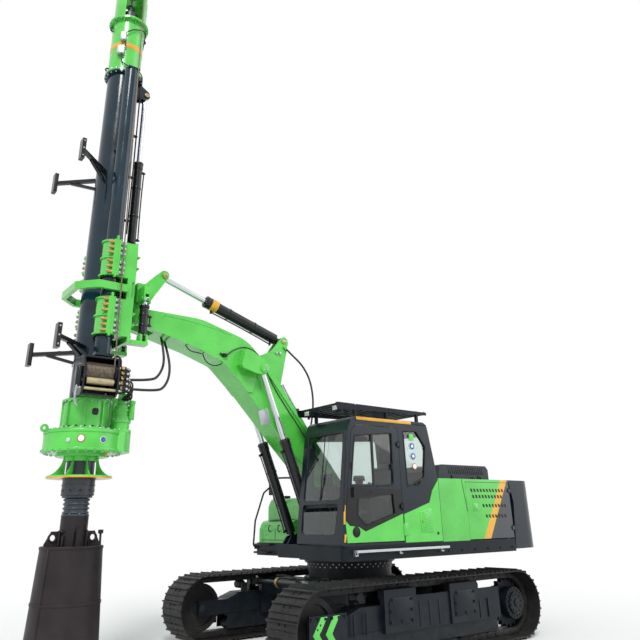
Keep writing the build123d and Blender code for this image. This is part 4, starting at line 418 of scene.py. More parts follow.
# pale green barrel on the left half of the gauge cylinders, black beyond
SPREAD_LIVERY = SplitEnamel("cylinder_enamel_pale_green_split", "#8fb598", "#7da287", rough=0.4, coat=0.2, grain=8,
    relief=0.05, axis="Y", low=60, high=640)
# zinc-nickel plated guide rollers: pale beige
ROLLER_PLATE = Finish("zinc_nickel_plating", "#b8ad86", "#a0967a", rough=0.4, metal=0.6, grain=6, relief=0.05, patch=80,
    slot="chrome")
# tempered float glass, flat and clear with a faint grey-green tint
CAB_GLASS = Glazing("tempered_glass", "#dfe9e6", "#cfdcd8", rough=0.05)
# woven polyester, matt and soft
SEAT_CLOTH = WovenCloth("polyester_seat_cloth", "#3a3d40", "#242628", rough=0.9, grain=6, relief=0.3, slot="seat")


# ---- modelling moves
class Plane(Enum):
    """Plane in which an outline is given, with the axes its two coordinates follow and its normal."""

    SIDE = (0, 2, 1)
    FLOOR = (0, 1, 2)
    CROSS = (1, 2, 0)


SIDE, FLOOR, CROSS = Plane


def clear_selection() -> None:
    if bpy.context.object and bpy.context.object.mode != "OBJECT":
        bpy.ops.object.mode_set(mode="OBJECT")
    bpy.ops.object.select_all(action="DESELECT")


def pick(piece: Piece) -> None:
    """Select one object alone and make it active.

    Args:
        piece: the object.
    """
    clear_selection()
    piece.select_set(True)
    bpy.context.view_layer.objects.active = piece


def settle(piece: Piece) -> Piece:
    """Put a fresh object's place, turn and scale into its mesh.

    Args:
        piece: the object.

    Returns:
        The same object.
    """
    pick(piece)
    bpy.ops.object.transform_apply(location=True, rotation=True, scale=True)
    return piece


def finish_edges(piece: Piece, bevel: float, segments: int = 2) -> Piece:
    """Round the hard edges by bevel millimetres and shade by angle.

    Args:
        piece: object whose place is in its mesh.
        bevel: width of the rounded edge, 0 for none.
        segments: facets across the rounded edge.

    Returns:
        The same object.
    """
    pick(piece)
    if bevel > 0:
        modifier = piece.modifiers.new("edge", "BEVEL")
        modifier.width = bevel / 1000
        modifier.segments = segments
        modifier.limit_method = "ANGLE"
        modifier.angle_limit = radians(35)
        bpy.ops.object.modifier_apply(modifier="edge")
    bpy.ops.object.shade_smooth_by_angle(angle=radians(38))
    return piece


def cuboid(low: Point, high: Point, bevel: float = 4.0) -> Piece:
    """Box between two corners with rounded edges.

    Args:
        low: lowest corner, mm.
        high: highest corner, mm.
        bevel: edge rounding, mm.

    Returns:
        The finished mesh object.
    """
    clear_selection()
    a, b = at(*low), at(*high)
    bpy.ops.mesh.primitive_cube_add(size=1, location=(a + b) / 2)
    piece = bpy.context.object
    piece.scale = b - a
    return finish_edges(settle(piece), bevel)


def rod(start: Point, end: Point, radius: float, bevel: float = 3.0, sides: int = 32,
        tip: float | None = None) -> Piece:
    """Round bar, or a cone where tip gives another end radius.

    Args:
        start: middle of its first face, mm.
        end: middle of its last face, mm.
        radius: radius, mm.
        bevel: edge rounding, mm.
        sides: facets round it.
        tip: radius at the end, mm.

    Returns:
        The finished mesh object.
    """
    clear_selection()
    a, b = at(*start), at(*end)
    last = (radius if tip is None else tip) / 1000
    bpy.ops.mesh.primitive_cone_add(vertices=sides, radius1=radius / 1000, radius2=last, depth=(b - a).length)
    piece = bpy.context.object
    piece.matrix_world = Matrix.Translation((a + b) / 2) @ (b - a).to_track_quat("Z", "Y").to_matrix().to_4x4()
    return finish_edges(settle(piece), bevel)


def sleeve(start: Point, end: Point, radius: float, bore: float, bevel: float = 3.0,
           sides: int = 40) -> Piece:
    """Open tube with a wall, its mid surface a cylinder thickened by Solidify.

    Args:
        start: middle of its first face, mm.
        end: middle of its last face, mm.
        radius: outer radius, mm.
        bore: inner radius, mm.
        bevel: edge rounding, mm.
        sides: facets round it.

    Returns:
        The finished mesh object.
    """
    clear_selection()
    a, b = at(*start), at(*end)
    bpy.ops.mesh.primitive_cylinder_add(vertices=sides, radius=radius / 1000, depth=(b - a).length,
        end_fill_type="NOTHING")
    piece = bpy.context.object
    piece.matrix_world = Matrix.Translation((a + b) / 2) @ (b - a).to_track_quat("Z", "Y").to_matrix().to_4x4()
    settle(piece)
    wall = piece.modifiers.new("wall", "SOLIDIFY")
    wall.thickness = (radius - bore) / 1000
    wall.offset = -1
    bpy.ops.object.modifier_apply(modifier="wall")
    return finish_edges(piece, bevel)


def slab(plane: Plane, outline: Iterable[Point], low: float, high: float,
         bevel: float = 4.0) -> Piece:
    """Flat plate of any outline: a filled circle moved to the outline's corners, then extruded.

    Args:
        plane: plane of the outline.
        outline: corners in that plane, mm, in order.
        low: one face's place along the plane's normal, mm.
        high: the other face's place, mm.
        bevel: edge rounding, mm.

    Returns:
        The finished mesh object.
    """
    corners, (low, high) = list(outline), sorted((low, high))
    clear_selection()
    bpy.ops.mesh.primitive_circle_add(vertices=len(corners), radius=1, fill_type="NGON")
    piece = bpy.context.object
    first, second, normal = plane.value
    for vertex, corner in zip(piece.data.vertices, corners):
        place = [0.0, 0.0, 0.0]
        place[first], place[second], place[normal] = corner[0], corner[1], low
        vertex.co = at(*place)
    rise = Vector((0, 0, 0))
    rise[normal] = (high - low) / 1000
    bpy.ops.object.mode_set(mode="EDIT")
    bpy.ops.mesh.select_all(action="SELECT")
    bpy.ops.mesh.extrude_region_move(TRANSFORM_OT_translate={"value": rise})
    bpy.ops.mesh.select_all(action="SELECT")
    bpy.ops.mesh.normals_make_consistent(inside=False)
    bpy.ops.object.mode_set(mode="OBJECT")
    return finish_edges(piece, bevel)


def oblong(x0: float, z0: float, x1: float, z1: float) -> tuple[Point, ...]:
    """Outline of an upright rectangle between two corners."""
    return ((x0, z0), (x1, z0), (x1, z1), (x0, z1))


def hoop(centre: Point, axis: Point, radius: float, wire: float, sides: int = 40) -> Piece:
    """Ring of round wire.

    Args:
        centre: its middle, mm.
        axis: direction through the ring.
        radius: radius of the wire's centre line, mm.
        wire: radius of the wire, mm.
        sides: facets round the ring.

    Returns:
        The finished mesh object.
    """
    clear_selection()
    bpy.ops.mesh.primitive_torus_add(major_segments=sides, minor_segments=10, major_radius=radius / 1000,
        minor_radius=wire / 1000)
    piece = bpy.context.object
    turn = Vector(axis).to_track_quat("Z", "Y").to_matrix().to_4x4()
    piece.matrix_world = Matrix.Translation(at(*centre)) @ turn
    return finish_edges(settle(piece), 0)


def curve_through(name: str, points: Sequence[Point], resolution: int, soft: bool = True) -> Piece:
    """Thin curve along points, selected and active.

    Args:
        name: the object's name.
        points: places it passes, mm.
        resolution: steps between two of them.
        soft: True for a smooth bend through the points, False for straight runs.

    Returns:
        The curve object.
    """
    data = bpy.data.curves.new(name, "CURVE")
    data.dimensions = "3D"
    data.resolution_u = resolution
    data.use_fill_caps = True
    spline = data.splines.new("NURBS" if soft else "POLY")
    spline.points.add(len(points) - 1)
    for knot, point in zip(spline.points, points):
        knot.co = (*at(*point), 1)
    if soft:
        spline.order_u = 3
        spline.use_endpoint_u = True
    piece = bpy.data.objects.new(name, data)
    bpy.context.collection.objects.link(piece)
    pick(piece)
    return piece


def thickened(curve: Piece, radius: float, resolution: int) -> Piece:
    """Give the active curve a round section and turn it into a mesh.

    Args:
        curve: the active curve object.
        radius: radius of the section, mm.
        resolution: Blender's bevel resolution of the section.

    Returns:
        The finished mesh object.
    """
    curve.data.bevel_depth = radius / 1000
    curve.data.bevel_resolution = resolution
    bpy.ops.object.convert(target="MESH")
    return finish_edges(bpy.context.object, 0)


def pipe(points: Sequence[Point], radius: float, soft: bool = True) -> Piece:
    """Bent pipe, hose tail or cable of a radius along points, smooth or in straight runs."""
    return thickened(curve_through("pipe", points, 6, soft), radius, 3)


def joined(pieces: Sequence[Piece]) -> Piece:
    """Join several meshes into the first of them.

    Args:
        pieces: finished mesh objects.

    Returns:
        The first of them, which now holds all.
    """
    pick(pieces[0])
    for piece in pieces[1:]:
        piece.select_set(True)
    if len(pieces) > 1:
        bpy.ops.object.join()
    return pieces[0]


def placed(master: Piece, places: Iterable[Matrix]) -> Piece:
    """Copy a master to each place, every copy with its own mesh, and join the copies; the master goes.

    Args:
        master: object modelled about the slewing axis at ground level.
        places: one matrix for each copy, in metres.

    Returns:
        The joined object.
    """
    copies = []
    for place in places:
        copy = master.copy()
        copy.data = master.data.copy()
        copy.data.transform(place @ Matrix.Translation(-at(0, 0, 0)))
        bpy.context.collection.objects.link(copy)
        copies.append(copy)
    mesh = master.data
    bpy.data.objects.remove(master)
    bpy.data.meshes.remove(mesh)
    return joined(copies)


def facing(point: Point, direction: Point, spin: float = 0.0) -> Matrix:
    """Matrix that stands a master's +Z along a direction at a point.

    Args:
        point: place, mm.
        direction: where +Z goes.
        spin: turn about that direction, degrees.

    Returns:
        The matrix, in metres.
    """
    turn = Vector(direction).to_track_quat("Z", "Y") @ Quaternion((0, 0, 1), radians(spin))
    return Matrix.Translation(at(*point)) @ turn.to_matrix().to_4x4()


def row_of(start: Point, end: Point, count: int, direction: Point) -> list[Matrix]:
    """Places on a straight line, each facing along a direction.

    Args:
        start: first place, mm.
        end: last place, mm.
        count: number of places.
        direction: where the masters' +Z goes.

    Returns:
        One matrix for each place.
    """
    first, last = Vector(start), Vector(end)
    return [facing(first.lerp(last, index / max(1, count - 1)), direction) for index in range(count)]


def compass(degrees: float) -> Vector:
    """Level direction at an angle from +X."""
    return Vector((cos(radians(degrees)), sin(radians(degrees)), 0))


def studs(centre: Point, radius: float, height: float, size: float, count: int, start: float, bevel: float,
          sides: int) -> list[Piece]:
    """Round or square studs that stand out of a drum-shaped surface.

    Args:
        centre: middle of their circle, mm.
        radius: radius at which they begin, mm.
        height: their length outwards, mm.
        size: radius of a stud, mm.
        count: number of studs.
        start: first direction, degrees.
        bevel: edge rounding, mm.
        sides: facets round a stud.

    Returns:
        The studs.
    """
    found = []
    for index in range(count):
        way = compass(start + index * 360 / count)
        base = Vector(centre) + way * radius
        found.append(rod(base, base + way * height, size, bevel, sides))
    return found


def bolt_head(size: float) -> Piece:
    """Hexagon head on its washer, standing on the slewing axis with its seat at Z = 0.

    Args:
        size: thread size, mm.

    Returns:
        The master object.
    """
    washer = rod((0, 0, 0), (0, 0, size * 0.2), size * 1.1, bevel=0, sides=12)
    head = rod((0, 0, size * 0.15), (0, 0, size * 0.8), size * 0.92, bevel=0, sides=6, tip=size * 0.84)
    return joined([washer, head])


def ring_of(centre: Point, axis: Point, radius: float, count: int, start: float = 0.0) -> list[Matrix]:
    """Places on a circle, each facing along the axis.

    Args:
        centre: middle of the circle, mm.
        axis: direction that the masters face.
        radius: radius of the circle, mm.
        count: number of places.
        start: first angle, degrees.

    Returns:
        One matrix for each place.
    """
    turn = Vector(axis).to_track_quat("Z", "Y")
    found = []
    for index in range(count):
        angle = radians(start + index * 360 / count)
        offset = turn @ Vector((radius * cos(angle), radius * sin(angle), 0))
        found.append(facing(Vector(centre) + offset, axis))
    return found


# ---- sub-assemblies
@dataclass
class Assembly:
    """Pieces that ride on CAD bodies; groups names the methods that make them, in order."""

    groups: ClassVar[tuple[str, ...]] = ()
    body: str = "upper"
    count: int = field(default=0, init=False)

    def fit(self, name: str, made: Piece | Sequence[Piece], finish: Finish, body: str = "",
            slot: str = "") -> None:
        """Name a piece, dress it and let it ride.

        Args:
            name: the piece's name.
            made: its mesh object, or several that are joined into it.
            finish: its finish.
            body: CAD body, the assembly's own unless given.
            slot: the record's material slot, the finish's own unless given; not used.
        """
        piece = made if isinstance(made, Piece) else joined(made)
        piece.name = name
        piece.data.materials.clear()
        piece.data.materials.append(finish.material())
        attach(piece, body or self.body)
        self.count += 1
        LOG.info("%s rides on %s", piece.name, body or self.body)

    def bolts(self, name: str, size: float, places: Iterable[Matrix], finish: Finish = SILVER_ZINC,
              body: str = "") -> None:
        """Set bolt heads as one piece.

        Args:
            name: the piece's name.
            size: thread size, mm.
            places: one matrix for each head.
            finish: their finish.
            body: CAD body, the assembly's own unless given.
        """
        self.fit(name, placed(bolt_head(size), places), finish, body)

    def build(self) -> None:
        """Make every group of pieces in order."""
        for group in self.groups:
            getattr(self, group)()


# ---- undercarriage
@dataclass
class Undercarriage(Assembly):
    """Chains, fasteners and guards of the two crawler tracks, and what is fixed to the turret."""

    groups: ClassVar[tuple[str, ...]] = ("chains", "frames", "hubs", "turret")
    body: str = "undercarriage"
    axle_x: float = 1797.5
    axle_z: float = 452.5
    track_y: float = 1400.0
    shoe_line: float = 412.5
    shoes: int = 52
    chain_half: float = 85.0
    frame_face: float = 1550.0
    towers: tuple[float, float] = (536.0, -668.0)
    tower_face: float = 1620.0
    guard: tuple[float, float] = (1397.0, 1957.0)

    def loop(self, distance: float, height: float, y: float) -> Matrix:
        """Place on a track's loop with +X along the run and +Z outwards.

        Args:
            distance: millimetres along the shoe line.
            height: height over the shoe line, mm.
            y: place across, mm.

        Returns:
            The matrix, in metres.
        """
        run, arc = 2 * self.axle_x, pi * self.shoe_line
        radius = self.shoe_line + height
        distance = distance % (2 * run + 2 * arc)
        if distance < run:
            x, z, turn = distance - self.axle_x, self.axle_z + radius, 0.0
        elif distance < run + arc:
            turn = (distance - run) / self.shoe_line
            x, z = self.axle_x + radius * sin(turn), self.axle_z + radius * cos(turn)
        elif distance < 2 * run + arc:
            x, z, turn = self.axle_x - (distance - run - arc), self.axle_z - radius, pi
        else:
            turn = pi + (distance - 2 * run - arc) / self.shoe_line
            x, z = -self.axle_x + radius * sin(turn), self.axle_z + radius * cos(turn)
        return Matrix.Translation(at(x, y, z)) @ Matrix.Rotation(turn, 4, "Y")

    def chains(self) -> None:
        """Link plates with their pins on both faces of each chain, and four bolts on each shoe."""
        pitch = (4 * self.axle_x + 2 * pi * self.shoe_line) / self.shoes
        links, pins, bolts = [], [], []
        for y in (self.track_y, -self.track_y):
            for index in range(self.shoes):
                for side in (1, -1):
                    face = y + side * (self.chain_half + 6)
                    links.append(self.loop((index + 0.45) * pitch, -46, face))
                    pins.append(self.loop((index + 0.95) * pitch, -46, face))
                for share in (0.22, 0.5):
                    bolts += [self.loop((index + share) * pitch, 13.5, y + offset) for offset in (-62, 62)]
        outline = ((-104, -26), (-60, -38), (60, -38), (104, -26), (104, 16), (70, 36), (-70, 36), (-104, 16))
        self.fit("chain_link_plates", placed(slab(SIDE, outline, -6, 6), links), TRACK_STEEL)
        self.fit("chain_pins", placed(rod((0, -12, 0), (0, 12, 0), 19, bevel=4, sides=16), pins), TRACK_STEEL)
        self.bolts("shoe_bolts", 15, bolts, TRACK_STEEL)

    def frames(self) -> None:
        """Tower covers, ribs, chain guides, the guards' chevrons and the bolts on the track frames."""
        covers, bolts, seams, guides, chevrons = [], [], [], [], []
        for side in (1, -1):
            for x in self.towers:
                outline = ((x - 210, 395), (x + 210, 395), (x + 210, 640), (x + 160, 700), (x - 210, 700))
                covers.append(slab(SIDE, outline, side * (self.tower_face - 2), side * (self.tower_face + 9), bevel=5))
                for dx, z in ((-185, 425), (0, 425), (185, 425), (-185, 670), (150, 670), (-185, 548), (185, 548)):
                    bolts.append(facing((x + dx, side * (self.tower_face + 9), z), (0, side, 0)))
            for x in (-1180, -1000, 180, 0, -180, 1100, 1300):
                low, high = sorted((side * (self.frame_face + 34), side * (self.frame_face + 52)))
                seams.append(cuboid((x - 12, low, 330), (x + 12, high, 620 if abs(x) < 900 else 560), bevel=3))
            for x in (-760, 420, 1080):
                outline = ((x - 150, 110), (x + 150, 110), (x + 120, 320), (x - 120, 320))
                guides.append(slab(SIDE, outline, side * (self.track_y + 102), side * (self.track_y + 130), bevel=5))
            for index in range(2):
                x = self.guard[0] + 110 + index * 185
                outline = ((x, 215), (x + 95, 215), (x + 215, 395), (x + 95, 575), (x, 575), (x + 120, 395))
                chevrons.append(slab(SIDE, outline, side * (self.frame_face + 30), side * (self.frame_face + 34),
                        bevel=1))
            for z in (240, 555):
                bolts += row_of((self.guard[0] + 30, side * (self.frame_face + 30), z),
                    (self.guard[1] - 30, side * (self.frame_face + 30), z), 6, (0, side, 0))
        self.fit("tower_covers", covers, CHASSIS_PAINT)
        self.fit("frame_ribs", seams, CHASSIS_PAINT)
        self.fit("chain_guides", guides, CHASSIS_PAINT)
        self.fit("guard_chevrons", chevrons, LIME_ENAMEL)
        self.bolts("frame_bolts", 18, bolts, CHASSIS_PAINT)

    def hubs(self) -> None:
        """Cover plates with bolt circles on the final drives and the idler forks."""
        axle_z, axle_x = self.axle_z, self.axle_x
        bolts, caps = [], []
        for side in (1, -1):
            face = side * (self.track_y + 175)
            bolts += ring_of((-axle_x, face, axle_z), (0, side, 0), 178, 18)
            cap = side * (self.track_y + 203)
            bolts += ring_of((-axle_x, cap, axle_z), (0, side, 0), 112, 10, start=10)
            caps += [rod((-axle_x, cap - side * 2, axle_z), (-axle_x, cap + side * 16, axle_z), 52, bevel=5),
                rod((axle_x, side * (self.frame_face - 12), axle_z), (axle_x, side * (self.frame_face + 22), axle_z),
                    62, bevel=6)]
            bolts += ring_of((axle_x, side * (self.frame_face + 22), axle_z), (0, side, 0), 42, 4)
            for index in range(8):
                x = -1200 + index * 2400 / 7
                caps.append(rod((x, side * (self.frame_face - 14), 235), (x, side * (self.frame_face + 8), 235), 36,
                        bevel=4, sides=24))
        self.fit("hub_caps", caps, CHASSIS_PAINT)
        self.bolts("hub_bolts", 16, bolts, TRACK_STEEL)

    def turret(self) -> None:
        """Bolts and seal of the slewing bearing, pipes to the drives, glands and pins of the spread cylinders."""
        bolts = []
        for radius, z in ((640, 985), (640, 1022)):
            for index in range(44):
                way = compass(index * 360 / 44 + (4 if z > 1000 else 0))
                bolts.append(facing(Vector((0, 0, z)) + way * radius, way))
        self.bolts("slew_ring_bolts", 8, bolts)
        self.fit("slew_ring_seal", hoop((0, 0, 1042), UP, 662, 7, sides=72), SEAL_RUBBER)
        pipes = []
        for side in (1, -1):
            for step in (0, 34):
                route = ((-420 - step, side * 320, 800), (-520 - step, side * 520, 770), (-880, side * 760, 700 + step),
                    (-1250, side * 1010, 620 + step), (-1600, side * 1090, 520 + step),
                    (-1780, side * 1130, 470 + step))
                pipes.append(pipe(route, 13))
            route = ((900, side * 640, 860), (860, side * 470, 880), (760, side * 300, 820), (640, side * 210, 700))
            pipes.append(pipe(route, 9))
        self.fit("undercarriage_pipes", pipes, HOSE_RUBBER)
        glands = [sleeve((900, side * 560, 765), (900, side * 612, 765), 70, 50, bevel=4) for side in (1, -1)]
        eyes = [rod((900, side * 1185, 690), (900, side * 1185, 840), 26, bevel=4) for side in (1, -1)]
        self.fit("spread_cylinder_glands", glands, GOLD_ZINC)
        self.fit("spread_cylinder_pins", eyes, SILVER_ZINC)


# ---- upper structure
@dataclass
class UpperStructure(Assembly):
    """Panels, seams, rails, lamps and service parts on the deck and the engine bay."""

    groups: ClassVar[tuple[str, ...]] = ("seams", "hatch", "door_fittings", "hood_fittings", "tail_fittings",
        "right_fittings", "rails", "well")
    half: float = 1385.0
    body_top: float = 2158.0
    skin: float = 10.0
    tail: float = 3010.0
    hood_front: float = 1500.0
    hood_rear: float = 2800.0
    hood_half: float = 560.0
    hood_rise: float = 285.0
    # one louvre row of a side door: front end, rear end, height
    louvres: tuple[Point, ...] = ((-1290, -2120, 2020), (-1320, -2130, 1930), (-1540, -2140, 1800),
        (-1590, -2150, 1650))

    def seams(self) -> None:
        """Dark rubber strips in the panel gaps of both sides and across the top."""
        strips = []
        for side, routes in ((1, (((-600, 2118), (-600, 1318)), ((-1118, 2150), (-1186, 1703)))),
                (-1, (((-1118, 2150), (-1186, 1703)),))):
            face = side * (self.half + 1)
            for route in routes:
                points = [(x, face, z) for x, z in route]
                strips.append(pipe(points, 4, soft=False))
        strips.append(pipe(((-1190, -self.half + 40, self.body_top), (-1190, self.half - 40, self.body_top)), 4,
                soft=False))
        self.fit("panel_seams", strips, SEAL_RUBBER)

    def hatch(self) -> None:
        """Louvred service hatch behind the cab door with its lock, a grommet and a hinge cover."""
        face = self.half + self.skin
        rim = ((-150, 1700), (-165, 1445), (-180, 1427), (-395, 1427), (-408, 1445), (-400, 1735), (-385, 1753))
        outline = slab(SIDE, rim, face - 2, face + 5, bevel=3)
        inner = [(x * 0.93 - 18, 1590 + (z - 1590) * 0.93) for x, z in rim]
        plate = slab(SIDE, inner, face + 3, face + 8, bevel=3)
        blades = []
        for index in range(8):
            z = 1700 - index * 32
            blades.append(slab(SIDE, ((-200, z - 18), (-352, z + 20), (-352, z + 30), (-200, z - 8)), face + 7,
                    face + 16, bevel=2))
        self.fit("hatch_panel", [outline, plate, *blades], LIME_ENAMEL)
        self.fit("hatch_lock", rod((-192, face + 6, 1570), (-192, face + 15, 1570), 13, sides=20), RED_ENAMEL,
            slot="green")
        self.fit("side_grommet", rod((-500, face - 4, 1415), (-500, face + 6, 1415), 20, sides=20), SEAL_RUBBER)
        self.fit("hinge_cover", slab(SIDE, ((92, 1400), (178, 1400), (178, 1545), (150, 1570), (92, 1560)), face - 2,
                face + 12, bevel=6), LIME_ENAMEL)

    def door_fittings(self) -> None:
        """Latches on the side doors, and dark rubber plates sunk in their louvre slots as painted shade for the dark
        bay behind them.
        """
        for side, body in ((1, "door_left"), (-1, "door_right")):
            face = side * self.half
            self.fit(f"{body}_latch",
                [slab(SIDE, oblong(-1318, 1704, -1436, 1810), face - side * 3, face + side * 7, bevel=6),
                    slab(SIDE, oblong(-1346, 1722, -1408, 1792), face + side * 5, face + side * 14, bevel=5)],
                LIME_ENAMEL, body)
            # painted shade: thin dark seal-rubber plates a few mm under the door's face darken each louvre slot,
            # standing for the shadowed bay behind it
            outline = ((0, 0), (-44, 0), (-62, -46), (-18, -46))
            louvre_shade_plate = slab(SIDE, outline, -1.5, 1.5, bevel=0)
            openings = [Matrix.Translation(at(row_front - index * 74, side * (self.half - 6.2), z))
                for row_front, row_rear, z in self.louvres for index in range(int((row_front - row_rear) // 74))]
            self.fit(f"{body}_louvres", placed(louvre_shade_plate, openings), SEAL_RUBBER, body)
            self.fit(f"{body}_lock",
                rod((-1377, face + side * 12, 1757), (-1377, face + side * 22, 1757), 15, sides=20), SILVER_ZINC, body)

    def hood_fittings(self) -> None:
        """Side slats, catches and handle of the engine hood, the exhaust and the intake."""
        body_top = self.body_top
        slats, catches = [], []
        top = body_top + self.hood_rise
        for side in (1, -1):
            face = side * self.hood_half
            for index in range(19):
                x = -self.hood_front - 260 - index * 48
                outline = ((x, top - 30), (x - 18, top - 30), (x - 34, top - 150), (x - 16, top - 150))
                slats.append(slab(SIDE, outline, face - side * 4, face + side * 5, bevel=2))
            for x in (-self.hood_front - 330, -self.hood_front - 1010):
                catches.append(slab(SIDE,
                        ((x, body_top + 20), (x - 60, body_top + 20), (x - 60, body_top + 90), (x, body_top + 120)),
                        face - side * 4, face + side * 16, bevel=5))
        self.fit("hood_slats", slats, SEAL_RUBBER, "engine_hood", slot="graphite")
        self.fit("hood_catches", catches, TRIM_ABS, "engine_hood")
        self.fit("hood_handle", pipe(((-self.hood_rear + 4, 130, body_top + 110),
                    (-self.hood_rear - 34, 120, body_top + 110), (-self.hood_rear - 34, -120, body_top + 110),
                    (-self.hood_rear + 4, -130, body_top + 110)), 9), TRIM_ABS, "engine_hood")
        stack = [sleeve((-1350, -760, body_top - 4), (-1350, -760, body_top + 210), 62, 54),
            sleeve((-1350, -760, body_top - 4), (-1350, -760, body_top + 26), 88, 60)]
        self.fit("exhaust_stack", stack, TRACK_STEEL, slot="graphite")
        self.bolts("exhaust_bolts", 10, ring_of((-1350, -760, body_top + 26), UP, 76, 6))
        intake = [rod((-1040, -900, body_top - 4), (-1040, -900, body_top + 90), 70, sides=36),
            rod((-1040, -900, body_top + 84), (-1040, -900, body_top + 176), 112, bevel=22, sides=40, tip=96)]
        self.fit("intake_bowl", intake, TRIM_ABS)

    def tail_fittings(self) -> None:
        """Lifting eyes, lamps, reflectors and grille of the counterweight."""
        tail = self.tail
        eyes, lamps, lenses, strips = [], [], [], []
        for side in (1, -1):
            y = side * 640
            eyes += [slab(FLOOR, oblong(-2520, y - 70, -2380, y + 70), self.body_top - 3, self.body_top + 14),
                hoop((-2450, y, self.body_top + 48), (0, 1, 0), 42, 15)]
            lamps.append(cuboid((-tail - 22, side * 860 - 95, 1640), (-tail + 12, side * 860 + 95, 1720), bevel=10))
            lenses.append(cuboid((-tail - 30, side * 860 - 80, 1652), (-tail - 18, side * 860 + 80, 1708), bevel=5))
            strips.append(cuboid((-tail - 6, side * 560 - 240, 1252), (-tail + 4, side * 560 + 240, 1300), bevel=2))
        self.fit("tail_lifting_eyes", eyes, CHASSIS_PAINT, slot="graphite")
        self.fit("tail_lamps", lamps, TRIM_ABS)
        self.fit("tail_lenses", lenses, RED_ENAMEL)
        self.fit("tail_reflectors", strips, AMBER_ENAMEL)
        grille = [cuboid((-tail - 5, -330, 1480 + index * 60), (-tail + 8, 330, 1508 + index * 60))
            for index in range(7)]
        self.fit("tail_grille", grille, SEAL_RUBBER, slot="graphite")

    def right_fittings(self) -> None:
        """Tool box seams, loop handles, treads, filler cap, hand rail and front steps on the right."""
        front, outer = 785.0, -1305.0
        handles = [pipe(((front + 2, y, 1462), (front + 40, y, 1462), (front + 40, y, 1552), (front + 2, y, 1552)), 8)
            for y in (-980, -720)]
        self.fit("tool_box_handles", handles, TRIM_ABS)
        seam = [pipe(((front + 1, -1240, 1340), (front + 1, -480, 1340)), 4, soft=False),
            pipe(((front + 1, -850, 1340), (front + 1, -850, 1500)), 4, soft=False)]
        self.fit("tool_box_seams", seam, SEAL_RUBBER)
        treads = [cuboid((590 + index * 48, outer + 140, 1624), (620 + index * 48, outer + 700, 1634), bevel=3)
            for index in range(3)]
        treads += [cuboid((-520 + index * 90, -1290, 1949), (-470 + index * 90, -520, 1960), bevel=3)
            for index in range(10)]
        self.fit("walkway_treads", treads, TRIM_ABS)
        caps = [rod((330, -1180, 1948), (330, -1180, 2000), 62, bevel=8, sides=36),
            rod((330, -1180, 1948), (330, -1180, 1960), 84, bevel=4, sides=36)]
        self.fit("tank_filler", caps, TRIM_ABS)
        rail = [pipe(((480, -1340, 1940), (480, -1340, 2260), (420, -1340, 2300), (-420, -1340, 2300),
                    (-480, -1340, 2260), (-480, -1340, 1950)), 15),
            pipe(((0, -1340, 1945), (0, -1340, 2300)), 13, soft=False)]
        self.fit("walkway_rail", rail, TRIM_ABS)
        steps = [cuboid((830, -1290, 1150), (905, -900, 1178), bevel=5),
            cuboid((826, -1300, 1262), (880, -880, 1290), bevel=5)]
        self.fit("front_step", steps, TRIM_ABS)

    def rails(self) -> None:
        """Slots on the step rail and the bolts along the deck's edges."""
        half = self.half
        slots = [cuboid((-560 + index * 78, half + 52, 1249), (-514 + index * 78, half + 94, 1255), bevel=2)
            for index in range(21)]
        self.fit("step_rail_slots", slots, TRIM_ABS)
        bolts = row_of((-540, half + 34, 1205), (1070, half + 34, 1205), 3, (0, 1, 0))
        bolts += row_of((-2150, half, 1180), (-700, half, 1180), 6, (0, 1, 0))
        bolts += row_of((-2150, -half, 1180), (700, -half, 1180), 10, (0, -1, 0))
        self.bolts("deck_bolts", 15, bolts, CHASSIS_PAINT)

    def well(self) -> None:
        """Slew motor, valve bank and hoses in the well between the cab and the tank."""
        motor = [rod((-180, 0, 1298), (-180, 0, 1520), 175, bevel=10),
            rod((-180, 0, 1516), (-180, 0, 1760), 105, bevel=10), rod((-180, 0, 1500), (-180, 0, 1530), 205, bevel=5)]
        self.fit("slew_motor", motor, ENGINE_CAST)
        self.bolts("slew_motor_bolts", 16, ring_of((-180, 0, 1530), UP, 188, 12))
        bank = [cuboid((-520 + index * 62, -240, 1298), (-466 + index * 62, 240, 1540), bevel=6) for index in range(3)]
        spools = [rod((-493 + index * 62, side * 238, 1420), (-493 + index * 62, side * 300, 1420), 22, sides=20)
            for index in range(3) for side in (1, -1)]
        self.fit("main_valve_bank", bank + spools, ENGINE_CAST)
        lines = [pipe(((-430, y, 1530), (-380, y, 1680), (-200, y * 1.2, 1790), (-60, y * 1.05, 1800), (20, y, 1790)),
                15) for y in (-150, -95, 95, 150)]
        self.fit("well_hoses", lines, HOSE_RUBBER)


